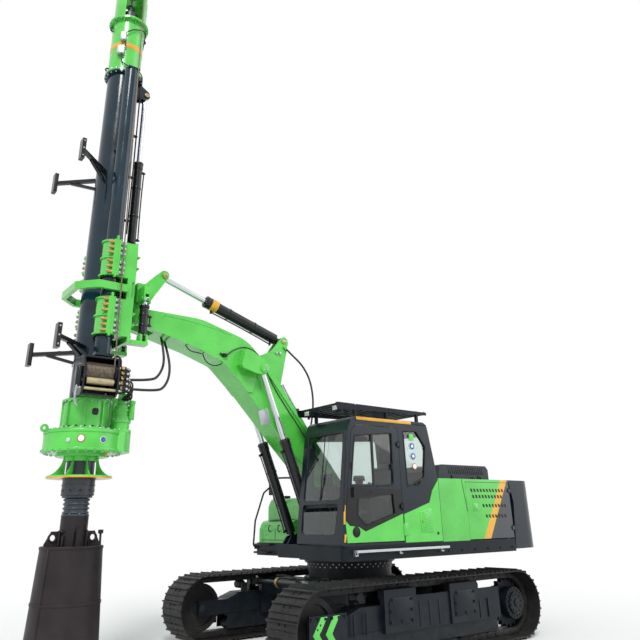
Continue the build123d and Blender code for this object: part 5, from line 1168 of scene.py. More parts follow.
# ---- cab
@dataclass
class Cab(Assembly):
    """Seals, latches, lamps, wiper and the operator's place."""

    groups: ClassVar[tuple[str, ...]] = ("seals", "latches", "roof_fittings", "signs", "wiper", "operator_place",
        "cushions")
    left: float = 1385.0
    right: float = 395.0
    rear: float = -590.0
    roof: float = 2945.0
    floor: float = 1348.3
    upper_window: tuple[Point, ...] = ((300, 2055), (1085, 2020), (990, 2687), (285, 2755))
    lower_window: tuple[Point, ...] = ((300, 1675), (840, 1535), (990, 1670), (962, 1873), (322, 1940))
    rear_window: tuple[Point, ...] = ((34, 2030), (-315, 2155), (-385, 2590), (-215, 2805), (56, 2795))

    def rounded(self, outline: Sequence[Point], y: float, radius: float = 42.0) -> list[tuple[float, float, float]]:
        """Closed route round a window, its corners cut by short chamfer points.

        Args:
            outline: window corners as X and Z, mm.
            y: place across, mm.
            radius: how far from a corner the bend begins, mm.

        Returns:
            Points for a soft pipe.
        """
        corners = [Vector((x, y, z)) for x, z in outline]
        route: list[tuple[float, float, float]] = []
        for before, corner, after in zip([corners[-1], *corners[:-1]], corners, [*corners[1:], corners[0]]):
            start = corner + (before - corner).normalized() * radius
            end = corner + (after - corner).normalized() * radius
            route += [tuple(start), tuple(corner), tuple(end), tuple((end + after) / 2)]
        return [*route, route[0]]

    def seals(self) -> None:
        """Rubber beads round the panes and the door, the door's on the door."""
        left = self.left
        y = left + 1
        door = [pipe(self.rounded(self.upper_window, y), 9), pipe(self.rounded(self.lower_window, y), 9)]
        self.fit("door_window_beads",
            [*door, cuboid((655, left - 22, 2035), (690, left + 4, 2722), bevel=3),
                cuboid((300, left - 20, 2030), (1075, left + 3, 2052), bevel=3)], SEAL_RUBBER, "cab_door")
        cab = [pipe(self.rounded(self.rear_window, y), 9)]
        screen = ((1172, 495, 1870), (1172, 1285, 1870), (1103, 1285, 2728), (1103, 495, 2728))
        cab.append(pipe([*screen, screen[0]], 10, soft=False))
        self.fit("cab_beads", [*cab,
                pipe(((-430, left + 2, self.roof - 40), (300, left + 2, self.roof - 30),
                    (960, left + 2, self.roof - 44)), 10, soft=False)], SEAL_RUBBER)
        self.fit("roof_edge_strip", slab(SIDE, oblong(-113, self.roof - 48, 950, self.roof - 4), left - 4, left + 12),
            AMBER_ENAMEL)

    def latches(self) -> None:
        """Hand bowl, handle, window catches, grab rails and the pillar's reflectors."""
        left = self.left
        face = left + 10
        bowl = [rod((1031, face - 6, 1465), (1031, face + 3, 1465), 60, sides=40),
            hoop((1031, face + 2, 1465), (0, 1, 0), 60, 5)]
        self.fit("door_latch", [*bowl,
                slab(SIDE, ((990, 1455), (1072, 1455), (1064, 1480), (998, 1480)), face + 2, face + 14, bevel=5)],
            TRIM_ABS, "cab_door")
        catches = [cuboid((1050, left - 4, 2240), (1074, left + 14, 2330), bevel=5),
            cuboid((312, left - 4, 2240), (330, left + 14, 2330), bevel=5),
            cuboid((660, left - 4, 1946), (760, left + 6, 1964), bevel=3)]
        self.fit("door_catches", catches, TRIM_ABS, "cab_door")
        rails = [pipe(((1215, left - 20, 1700), (1240, left + 24, 1740), (1215, left + 24, 2080),
                    (1150, left + 24, 2600), (1130, left - 20, 2640)), 13),
            pipe(((-210, left - 2, 2120), (-240, left + 26, 2085), (-120, left + 26, 2050), (-95, left - 2, 2085)), 9)]
        self.fit("cab_grab_rails", rails, TRIM_ABS)
        for name, low, high in (("pillar_reflector_low", 1345, 1440), ("pillar_reflector_high", 1560, 1790)):
            self.fit(name, slab(SIDE, ((1206, low), (1236, low), (1224, high), (1194, high)), left - 2, left + 4,
                    bevel=1), AMBER_ENAMEL)

    def roof_fittings(self) -> None:
        """Work lamps, beacon and the bolts of the roof guard."""
        lamps, lenses = [], []
        for y in (520, 1180):
            lamps += [cuboid((1085, y - 62, 3030), (1150, y + 62, 3112), bevel=12),
                cuboid((1105, y - 16, 2990), (1130, y + 16, 3034))]
            lenses.append(cuboid((1148, y - 52, 3042), (1158, y + 52, 3100), bevel=6))
        self.fit("roof_lamps", lamps, TRIM_ABS)
        self.fit("roof_lamp_lenses", lenses, WHITE_ENAMEL)
        foot = rod((-430, 520, self.roof - 3), (-430, 520, self.roof + 30), 62, bevel=6)
        self.fit("beacon_lens", rod((-430, 520, self.roof + 26), (-430, 520, self.roof + 120), 50, bevel=14, tip=42),
            AMBER_ENAMEL)
        self.fit("beacon_foot", foot, TRIM_ABS)
        bolts = [facing((x, y, 3108 if x < 0 else 3112), UP) for x in (-480, -320, 300, 900) for y in (408, 1322)]
        self.bolts("roof_guard_bolts", 15, bolts)

    def signs(self) -> None:
        """Blank signs on the rear side pane and the cross rail between the two front screens."""
        face = self.left - 3
        self.fit("sign_green_0", slab(SIDE, oblong(-150, 2668, -62, 2760), face, face + 4, bevel=1), LIME_CAST,
            slot="silver")
        for index, (x, z, rim) in enumerate(((-112, 2590, BLUE_ENAMEL), (-122, 2450, BLUE_ENAMEL),
                    (-136, 2310, RED_ENAMEL))):
            self.fit(f"sign_rim_{2 * index + 1}", rod((x, face, z), (x, face + 4, z), 46, bevel=1, sides=40), rim,
                slot="silver")
            self.fit(f"sign_face_{2 * index + 2}",
                rod((x, face + 3, z), (x, face + 6, z), 35 if rim is RED_ENAMEL else 22, bevel=0, sides=36),
                WHITE_ENAMEL)
        self.fit("screen_rail", slab(SIDE, ((1150, 1768), (1188, 1768), (1180, 1856), (1142, 1856)), self.right + 80,
                self.left - 90, bevel=5), SEAL_RUBBER)

    def wiper(self) -> None:
        """Wiper on its motor in front of the windscreen."""
        arm = [rod((1150, 860, 1835), (1212, 860, 1842), 24, bevel=4),
            pipe(((1206, 860, 1840), (1188, 880, 2060), (1160, 900, 2390)), 8, soft=False),
            pipe(((1194, 890, 2060), (1165, 905, 2360), (1128, 915, 2690)), 7, soft=False)]
        self.fit("wiper", arm, TRIM_ABS)

    def operator_place(self) -> None:
        """Consoles, levers, pedals, screen and dashboard under and round the cushions."""
        right, floor = self.right, self.floor
        middle = (self.left + right) / 2
        solid = [slab(CROSS, ((middle - 190, floor), (middle + 190, floor), (middle + 150, floor + 230),
                    (middle - 150, floor + 230)), 110, 470, bevel=12),
            cuboid((70, middle - 225, floor + 228), (545, middle + 225, floor + 262), bevel=12),
            slab(SIDE, ((45, floor + 330), (75, floor + 330), (-48, floor + 1000), (-80, floor + 1000)), middle - 215,
                middle + 215, bevel=10)]
        for side in (1, -1):
            y = middle + side * 300
            solid += [slab(SIDE, ((200, floor), (560, floor), (620, floor + 430), (600, floor + 500),
                        (240, floor + 470)), y - 55, y + 55, bevel=14),
                pipe(((560, y, floor + 490), (566, y, floor + 600), (580, y, floor + 670)), 11),
                rod((578, y, floor + 640), (590, y, floor + 745), 24, bevel=9, tip=19),
                pipe(((900, middle + side * 70, floor + 40), (930, middle + side * 80, floor + 330),
                        (880, middle + side * 95, floor + 620)), 13),
                rod((884, middle + side * 94, floor + 600), (862, middle + side * 99, floor + 730), 21, bevel=8),
                slab(SIDE, ((900, floor + 30), (1060, floor + 100), (1056, floor + 116), (895, floor + 46)),
                    middle + side * 90 - 45, middle + side * 90 + 45, bevel=5)]
        solid += [cuboid((-150, right + 60, floor + 380), (760, right + 170, floor + 460), bevel=16),
            cuboid((-470, right + 60, floor), (-210, self.left - 60, floor + 620), bevel=20),
            cuboid((120, right + 60, floor - 2), (1180, self.left - 60, floor + 9))]
        screen = cuboid((860, right + 90, floor + 700), (900, right + 330, floor + 880), bevel=10)
        solid += [screen, pipe(((880, right + 200, floor + 700), (930, right + 160, floor + 420),
                    (980, right + 100, floor + 300)), 14)]
        place = joined(solid)
        self.fit("operator_place", place, TRIM_ABS, slot="seat")
        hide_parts("cab_seat")
        self.fit("screen_pane", cuboid((856, right + 104, floor + 714), (862, right + 316, floor + 866), bevel=3),
            SEAL_RUBBER, slot="glass")

    def cushion(self, name: str, low: Point, high: Point, lean: float) -> None:
        """Sewn pad: a rounded block remeshed, blown up as cloth, then leaned back.

        Args:
            name: the piece's name.
            low: lowest corner of its space, mm.
            high: highest corner of its space, mm.
            lean: backward turn about its lower rear edge, degrees.
        """
        piece = cuboid(low, high, bevel=24)
        pick(piece)
        fine = piece.modifiers.new("even mesh", "REMESH")
        fine.mode = "VOXEL"
        fine.voxel_size = 0.014
        bpy.ops.object.modifier_apply(modifier="even mesh")
        before = [vertex.co.copy() for vertex in piece.data.vertices]
        blown = piece.modifiers.new("air", "CLOTH")
        blown.settings.use_pressure = True
        blown.settings.uniform_pressure_force = 4.0
        blown.settings.effector_weights.gravity = 0.0
        blown.settings.quality = 4
        for step in range(1, 16):
            bpy.context.scene.frame_set(step)
        bpy.ops.object.modifier_apply(modifier="air")
        bpy.context.scene.frame_set(1)
        for vertex, start in zip(piece.data.vertices, before):
            move = vertex.co - start
            if move.length > 0.012:
                vertex.co = start + move.normalized() * 0.012
        middle = (at(*low) + at(*high)) / 2
        for vertex in piece.data.vertices:
            # two sewn channels across the pad
            across = (vertex.co.y - middle.y) * 1000
            groove = max(0.0, 1 - abs(abs(across) - 120) / 14)
            vertex.co += (middle - vertex.co).normalized() * 0.010 * groove
        turn = Matrix.Rotation(radians(lean), 4, "Y")
        hinge = at(low[0], 0, low[2])
        piece.data.transform(Matrix.Translation(hinge) @ turn @ Matrix.Translation(-hinge))
        finish_edges(piece, 0)
        self.fit(name, piece, SEAT_CLOTH)

    def cushions(self) -> None:
        """Seat, back and head pads."""
        middle = (self.left + self.right) / 2
        z = self.floor
        self.cushion("seat_cushion", (80, middle - 225, z + 274), (545, middle + 225, z + 372), 0.0)
        self.cushion("back_cushion", (88, middle - 212, z + 345), (172, middle + 212, z + 985), -10.0)
        self.cushion("head_cushion", (-30, middle - 118, z + 1020), (40, middle + 118, z + 1165), -10.0)


# ---- boom and cylinders
@dataclass
class BoomFittings(Assembly):
    """Pins, plates, cables and pipes on the boom."""

    groups: ClassVar[tuple[str, ...]] = ("pins", "plate", "cables", "loops")
    body: str = "boom"
    half: float = 205.0
    tip_half: float = 228.0
    tip: Point = (3720, 4222)
    lift_eye: Point = (1810, 3700)
    tilt_base: Point = (1260, 4240)

    def pins(self) -> None:
        """Bolted caps on the lift pins and keeper plates on the other pins."""
        caps, keepers, bolts = [], [], []
        for side in (1, -1):
            face = side * 403
            x, z = self.lift_eye
            caps.append(rod((x, face - side * 3, z), (x, face + side * 9, z), 64, bevel=4, sides=40))
            bolts += ring_of((x, face + side * 9, z), (0, side, 0), 40, 4, start=45)
            for (px, pz), reach in ((self.tip, self.tip_half + 14), (self.tilt_base, 91)):
                keepers.append(slab(SIDE, oblong(px - 44, pz - 22, px + 44, pz + 22), side * (reach - 2),
                        side * (reach + 9)))
                bolts += [facing((px + dx, side * (reach + 9), pz), (0, side, 0)) for dx in (-28, 28)]
        self.fit("lift_pin_caps", caps, LIME_ENAMEL)
        self.fit("boom_keepers", keepers, GOLD_ZINC)
        self.bolts("boom_pin_bolts", 11, bolts)

    def plate(self) -> None:
        """Blank tin plate riveted to the left web, weld beads along the knee."""
        self.fit("blank_plate", slab(SIDE, ((1640, 3160), (1805, 3105), (1745, 2900), (1580, 2955)), self.half - 1,
                self.half + 4, bevel=2), BLANK_PLATE)
        beads = []
        for side in (1, -1):
            y = side * (self.half + 2)
            beads += [pipe(((430, y, 2240), (940, y, 2900), (1560, y, 3560)), 5),
                pipe(((2300, side * (self.tip_half + 1), 4160), (2750, side * (self.tip_half + 1), 4270),
                        (3380, side * (self.tip_half + 1), 4290)), 5)]
        self.fit("boom_weld_beads", beads, LIME_CAST)

    def cables(self) -> None:
        """Angle sensor with its cable, steel pipes up the back and clamps on them."""
        y = self.tip_half + 8
        sensor = [cuboid((2380, y - 10, 3820), (2445, y + 30, 3870), bevel=5),
            rod((2445, y + 10, 3848), (2490, y + 10, 3862), 13)]
        self.fit("angle_sensor", sensor, TRIM_ABS)
        self.fit("sensor_cable", pipe(((2380, y + 8, 3850), (2320, y + 4, 3905), (2230, y + 2, 3960), (2080, y, 4020),
                    (1900, y - 8, 3990), (1740, y - 12, 3860), (1600, self.half + 12, 3560),
                    (1300, self.half + 10, 3180), (1020, self.half + 8, 2860), (700, self.half + 8, 2400),
                    (430, self.half + 8, 2080)), 7), HOSE_RUBBER)
        pipes = [pipe(((300, y, 2210), (560, y, 2560), (880, y, 2990), (1180, y, 3380), (1290, y, 3560)), 13)
            for y in (-96, -48, 48, 96)]
        clamps = [cuboid((x - 26, side * 72 - 46, z - 16), (x + 26, side * 72 + 46, z + 34), bevel=6)
            for x, z in ((420, 2375), (720, 2780), (1020, 3180)) for side in (1, -1)]
        self.fit("boom_pipes", pipes, SILVER_ZINC)
        self.fit("boom_pipe_clamps", clamps, TRIM_ABS)

    def loops(self) -> None:
        """Small cable loops under the belly, the valve block at the tilt cylinder's foot and a work lamp."""
        loops = [pipe(((3010, 150, 3960), (2975, 160, 3890), (2900, 165, 3850), (2800, 165, 3850), (2740, 160, 3840)),
                8), pipe(((2720, 150, 3850), (2690, 160, 3750), (2600, 165, 3700), (2490, 165, 3690),
                    (2400, 150, 3745)), 8)]
        self.fit("belly_loops", loops, HOSE_RUBBER)
        block = [cuboid((1330, -70, 4010), (1450, 70, 4085), bevel=6), rod((1350, 60, 4045), (1350, 118, 4045), 20),
            rod((1410, 60, 4040), (1410, 108, 4040), 16), rod((1390, -60, 4045), (1390, -112, 4045), 20)]
        self.fit("holding_valve", block, SILVER_ZINC)
        lamp = [cuboid((2020, -320, 4040), (2100, -240, 4110), bevel=12),
            cuboid((2040, -262, 4000), (2080, -224, 4050))]
        self.fit("boom_lamp", lamp, TRIM_ABS)
        self.fit("boom_lamp_lens", cuboid((2098, -312, 4048), (2106, -248, 4102), bevel=5), WHITE_ENAMEL)


@dataclass
class CylinderFittings(Assembly):
    """Glands, ports, pipes and bands of the hydraulic cylinders, each on its own barrel."""

    def gland(self, name: str, body: str, foot: Point, head: Point, length: float, radius: float,
              rod_radius: float = 42.0, bolts: int = 12, band: bool = False) -> None:
        """Bolt ring and wiper on the gland, a port block at each end with a steel pipe between, and clamps.

        Args:
            name: stem of the pieces' names.
            body: CAD body of the barrel.
            foot: pin of the barrel, mm.
            head: pin of the rod, mm.
            length: barrel length from its pin, mm.
            radius: barrel radius, mm.
            rod_radius: rod radius, mm.
            bolts: number of gland bolts.
            band: True for an amber band behind the gland.
        """
        start, end = Vector(foot), Vector(head)
        way = (end - start).normalized()
        side = way.cross(Vector((0, 1, 0))).normalized()
        # ports and pipe lie in front, or behind an upright barrel, where nothing swings near them
        upright = abs(way.z) > 0.99
        if (side.x < 0) != upright:
            side = -side
        mouth = start + way * length
        # an upright rod's fork comes down to 5 mm from the barrel's mouth
        lip = 3 if upright else 12
        ring = [sleeve(mouth - way * 2, mouth + way * lip, rod_radius + 22, rod_radius + 2, bevel=1 if upright else 3),
            sleeve(mouth - way * 44, mouth - way * 6, radius + 10, radius - 20, bevel=4)]
        clips = [sleeve(start + way * (length * share - 14), start + way * (length * share + 14), radius + 6,
                radius - 2, bevel=2) for share in (0.38, 0.7)]
        ports = []
        for share in (190, length - 150):
            base = start + way * share + side * (radius + 14)
            ports += [rod(base - side * 18, base + side * 24, 21, bevel=4, sides=24),
                rod(base + side * 22, base + side * 42, 15, sides=6)]
        line = [start + way * share + side * (radius + offset)
            for share, offset in ((190, 34), (250, 30), (length * 0.5, 24), (length - 210, 30), (length - 150, 34))]
        self.fit(f"{name}_ports", [*ring, *ports, *clips], CYLINDER_ENAMEL, body)
        self.fit(f"{name}_pipe", pipe(line, 10), CYLINDER_ENAMEL, body)
        self.bolts(f"{name}_bolts", 9, ring_of(mouth - way * 6, way, radius - 3, bolts), body=body)
        if band:
            self.fit(f"{name}_band", sleeve(mouth - way * 210, mouth - way * 96, radius + 10, radius + 1), AMBER_ENAMEL,
                body)

    def build(self) -> None:
        """Make the fittings of the lift, roll, tilt and crowd cylinders."""
        for side, word in ((1, "left"), (-1, "right")):
            y = side * 290
            self.gland(f"lift_{word}", "lift_barrels", (830, y, 1330), (1810, y, 3700), length=1498, radius=72,
                bolts=10)
            y = side * 345
            self.gland(f"roll_{word}", f"roll_barrel_{word}", (3730, y, 3880), (3730, y, 4438), length=463, radius=58,
                rod_radius=34, bolts=8)
        self.gland("tilt", "tilt_barrel", (1260, 0, 4240), (3360, 0, 4920), length=1454, radius=82, band=True)
        self.gland("crowd", "carriage", (3868, 0, 5215), (3868, 0, 7850), length=1445, radius=62, rod_radius=36,
            bolts=10)


# ---- carriage and mast
@dataclass
class CarriageFittings(Assembly):
    """Clamp bushings, pins, pads and ribs on the carriage and the tilting block."""

    groups: ClassVar[tuple[str, ...]] = ("bushings", "ribs", "pins")
    body: str = "carriage"
    mast_x: float = 4240.0
    back: float = 3940.0
    outer: float = 472.0
    zones: tuple[tuple[float, float], ...] = ((3840, 4332), (4627, 5130))

    def bushings(self) -> None:
        """Six sprung bushings and their bolts on both sides of each clamp bar."""
        brass, steel, heads = [], [], []
        for side in (1, -1):
            y = side * 502
            for low, high in self.zones:
                for index in range(6):
                    z = low + 66 + index * (high - low - 132) / 5 + (24 if index > 2 else -24)
                    brass.append(rod((self.mast_x + 46, y, z), (self.mast_x + 112, y, z), 25, bevel=5, sides=20))
                    steel.append(rod((self.mast_x - 112, y, z), (self.mast_x - 46, y, z), 25, bevel=5, sides=20))
                    heads += [facing((self.mast_x + 112, y, z), (1, 0, 0)),
                        facing((self.mast_x - 112, y, z), (-1, 0, 0))]
        self.fit("clamp_bushings", brass, GOLD_ZINC, "carriage")
        self.fit("clamp_spacers", steel, SILVER_ZINC, "carriage")
        self.bolts("clamp_bolts", 15, heads, body="carriage")

    def ribs(self) -> None:
        """Vertical and cross ribs on the back plate, slide pads and their screws."""
        back = self.back
        ribs, pads, bolts = [], [], []
        for side in (1, -1):
            for z in (4010, 4160, 4800, 4960):
                low, high = sorted((side * 262, side * (self.outer - 4)))
                ribs.append(slab(FLOOR, oblong(back - 46, low, back + 2, high), z - 8, z + 8, bevel=3))
            ribs.append(slab(SIDE, ((back + 2, 3850), (back - 46, 3850), (back - 52, 5060), (back + 2, 5100)),
                    side * 340, side * 356, bevel=3))
            for low, high in self.zones:
                for z in (low - 9, high + 9):
                    pads.append(sleeve((self.mast_x, side * 342, z - 9), (self.mast_x, side * 342, z + 9), 128, 107))
            bolts += row_of((back, side * 300, 3870), (back, side * 300, 5080), 8, (-1, 0, 0))
        self.fit("carriage_ribs", ribs, LIME_CAST)
        self.fit("carriage_pads", pads, TRIM_ABS)
        self.bolts("carriage_bolts", 15, bolts)

    def pins(self) -> None:
        """Gold pins with keeper plates on the lever, the crowd foot, the roll cylinders and the swivel."""
        tilt, crowd, bolts, crowd_bolts = [], [], [], []
        for side in (1, -1):
            tilt += [rod((3360, side * 108, 4920), (3360, side * 126, 4920), 40, bevel=5),
                slab(SIDE, oblong(3318, 4902, 3402, 4938), side * 124, side * 133)]
            bolts += [facing((3360 + dx, side * 133, 4920), (0, side, 0)) for dx in (-28, 28)]
            crowd.append(rod((3868, side * 78, 5215), (3868, side * 92, 5215), 36, bevel=5))
            crowd_bolts += [facing((3868 + dx, side * 92, 5215), (0, side, 0)) for dx in (-18, 18)]
        self.fit("lever_pin", tilt, GOLD_ZINC, "pitch_block")
        self.bolts("lever_pin_bolts", 10, bolts, body="pitch_block")
        self.fit("crowd_pin", crowd, GOLD_ZINC)
        self.bolts("crowd_pin_bolts", 10, crowd_bolts)
        self.fit("swivel_rim", sleeve((3808, 0, 4560), (3846, 0, 4560), 178, 148, bevel=5), LIME_CAST, "pitch_block")
        self.bolts("swivel_bolts", 13, ring_of((3846, 0, 4560), (1, 0, 0), 163, 16), body="pitch_block")
        rolls = ring_of((3674, 345, 4438), (-1, 0, 0), 15, 3) + ring_of((3674, -345, 4438), (-1, 0, 0), 15, 3)
        self.bolts("roll_pin_bolts", 7, rolls, body="pitch_block")
        eyes = [sleeve((3660, side * 232, 4660), (3660, side * 252, 4660), 34, 15, bevel=4) for side in (1, -1)]
        self.fit("block_eyes", eyes, LIME_CAST, "pitch_block")


@dataclass
class MastFittings(Assembly):
    """Flange bolts, boxes, cables, band, sensors, fork fittings and rest pads of the mast."""

    groups: ClassVar[tuple[str, ...]] = ("flanges", "boxes", "openings", "fork", "rests")
    body: str = "mast"
    x: float = 4240.0
    joint: float = 8030.0
    fork_bottom: float = 9050.0
    rest_levels: tuple[float, float] = (3701.0, 6260.0)
    rest_reach: float = 640.0
    rest_spread: float = 590.0

    def round_tube(self, angle: float, z: float = 0.0) -> Matrix:
        """Place on the mast's axis at a height in mm, turned by an angle in degrees."""
        return Matrix.Translation(at(self.x, 0, z)) @ Matrix.Rotation(radians(angle), 4, "Z")

    def flanges(self) -> None:
        """Bolts through both flanges and ribs under the lower one."""
        places = []
        for z, radius in ((self.joint + 30, 266), (self.fork_bottom, 284)):
            places += ring_of((self.x, 0, z), UP, radius, 20, start=9)
        for z, radius in ((self.joint - 30, 266), (self.fork_bottom - 30, 284)):
            places += ring_of((self.x, 0, z), DOWN, radius, 20, start=9)
        self.bolts("mast_flange_bolts", 15, places)
        places = [self.round_tube(index * 36 + 18, self.fork_bottom) for index in range(10)]
        rib = slab(SIDE, ((243, -30), (300, -30), (243, -110)), -6, 6, bevel=2)
        self.fit("flange_ribs", placed(rib, places), LIME_CAST)

    def boxes(self) -> None:
        """Amber band, two junction boxes, their clamps and cables on the upper tube."""
        self.fit("amber_band", sleeve((self.x, 0, 8470), (self.x, 0, 8560), 247.5, 243, bevel=1, sides=64),
            AMBER_ENAMEL)
        boxes = []
        for angle, low, high, width in ((58, 8560, 8720, 44), (54, 8300, 8460, 56)):
            whole = joined([cuboid((245, -width, low), (312, width, high), bevel=8),
                    cuboid((311, -width + 6, low + 8), (320, width - 6, high - 8))])
            boxes.append(placed(whole, [self.round_tube(angle)]))
        self.fit("junction_boxes", boxes, ALUMINIUM)
        cables = [pipe(((4375, 262, 8705), (4300, 275, 8790), (4180, 270, 8860), (4080, 235, 8900), (4010, 160, 8930),
                    (3985, 60, 8880), (3990, 20, 8700)), 9),
            pipe(((4400, 240, 8300), (4390, 240, 8180), (4330, 262, 8120), (4230, 285, 8090), (4110, 270, 8080),
                    (4020, 210, 8070), (3975, 100, 8000), (3960, 60, 7900)), 9),
            pipe(((4372, 268, 8560), (4350, 282, 8510), (4360, 272, 8460)), 9)]
        self.fit("mast_cables", cables, HOSE_RUBBER)
        eyes = [hoop((self.x + side * 262, 0, z), (0, 1, 0), 30, 12) for side in (1, -1) for z in (8890, 8100)]
        self.fit("mast_eyes", eyes, CYLINDER_ENAMEL)

    def openings(self) -> None:
        """Amber ring in the round hole, the hooded sensor, the crowd rod's pin and the lines down the back."""
        x = self.x
        self.fit("kelly_mark", rod((x + 20, 168, 7070), (x + 20, 176, 7070), 46, bevel=2), AMBER_ENAMEL)
        self.fit("hole_rim", hoop((x + 20, 231, 7070), (0, 1, 0), 52, 6), MAST_ENAMEL)
        hood = [slab(SIDE, ((x - 40, 6560), (x + 100, 6600), (x + 100, 6614), (x - 40, 6574)), 226, 300, bevel=3),
            slab(SIDE, ((x - 30, 6420), (x + 80, 6420), (x + 80, 6590), (x - 30, 6562)), 226, 236, bevel=3)]
        self.fit("sensor_hood", hood, CYLINDER_ENAMEL)
        self.fit("depth_sensor", rod((x + 24, 246, 6430), (x + 24, 246, 6550), 27, bevel=8), AMBER_ENAMEL)
        pins, bolts = [], []
        for side in (1, -1):
            pins.append(rod((3868, side * 76, 7850), (3868, side * 90, 7850), 36, bevel=5))
            bolts += [facing((3868 + dx, side * 90, 7850), (0, side, 0)) for dx in (-18, 18)]
        self.fit("crowd_eye_pin", pins, GOLD_ZINC)
        self.bolts("crowd_eye_bolts", 10, bolts)
        lines = [pipe(((x - 236, 150 + dy * 0.3, 5400), (x - 240, 150 + dy * 0.3, 6500),
                    (x - 236, 146 + dy * 0.3, 7900)), 8, soft=False) for dy in (-26, 0, 26)]
        self.fit("mast_lines", lines, HOSE_RUBBER)
        clips = [cuboid((x - 254, 128, z - 14), (x - 170, 172, z + 14), bevel=5) for z in (5600, 6300, 7000, 7700)]
        self.fit("mast_line_clips", clips, TRIM_ABS)

    def fork(self) -> None:
        """Zinc ladder bracket on the fork, sheave pin plates, rope guards and the red swivel ring."""
        x = self.x
        rungs = [cuboid((x - 238, -60, 9130 + index * 70), (x - 226, 60, 9150 + index * 70), bevel=3)
            for index in range(7)]
        stiles = [cuboid((x - 246, y - 8, 9090), (x - 232, y + 8, 9620), bevel=3) for y in (-64, 64)]
        self.fit("fork_ladder", rungs + stiles, SILVER_ZINC)
        plates, bolts = [], []
        for side in (1, -1):
            face = x + side * 67
            plates.append(slab(CROSS, oblong(205, 9812, 325, 9888), face - side * 2, face + side * 8, bevel=5))
            bolts += [facing((face + side * 8, y, 9850), (side, 0, 0)) for y in (225, 305)]
        self.fit("sheave_pin_plates", plates, GOLD_ZINC)
        self.bolts("sheave_pin_bolts", 12, bolts)
        guards = [rod((x - 44, y, z), (x + 44, y, z), 10) for y, z in ((330, 9905), (150, 9925))]
        self.fit("rope_guards", guards, SILVER_ZINC)
        self.fit("swivel_ring_mark", hoop((x, 0, 9310), UP, 60, 14), RED_ENAMEL, "kelly_inner")

    def rests(self) -> None:
        """Rubber pads with bolts on the rest arms' uprights and weld beads on the arms."""
        pads, bolts, strips = [], [], []
        end_x = self.x + self.rest_reach
        for level in self.rest_levels:
            for side in (1, -1):
                y = side * self.rest_spread
                pads.append(cuboid((end_x - 22, y - side * 57 - 6, level - 130),
                        (end_x + 22, y - side * 57 + 6, level + 130), bevel=5))
                bolts += row_of((end_x, y + side * 55, level - 110), (end_x, y + side * 55, level + 110), 3,
                    (0, side, 0))
                way = compass(side * 42.67)
                for distance in (304, 466):
                    middle = Vector((self.x, 0, level + 27)) + way * distance
                    strips.append(rod(middle - way * 26, middle + way * 26, 9, bevel=2, sides=12))
        self.fit("rest_pads", pads, SEAL_RUBBER)
        self.bolts("rest_bolts", 11, bolts)
        self.fit("rest_welds", strips, CYLINDER_ENAMEL)


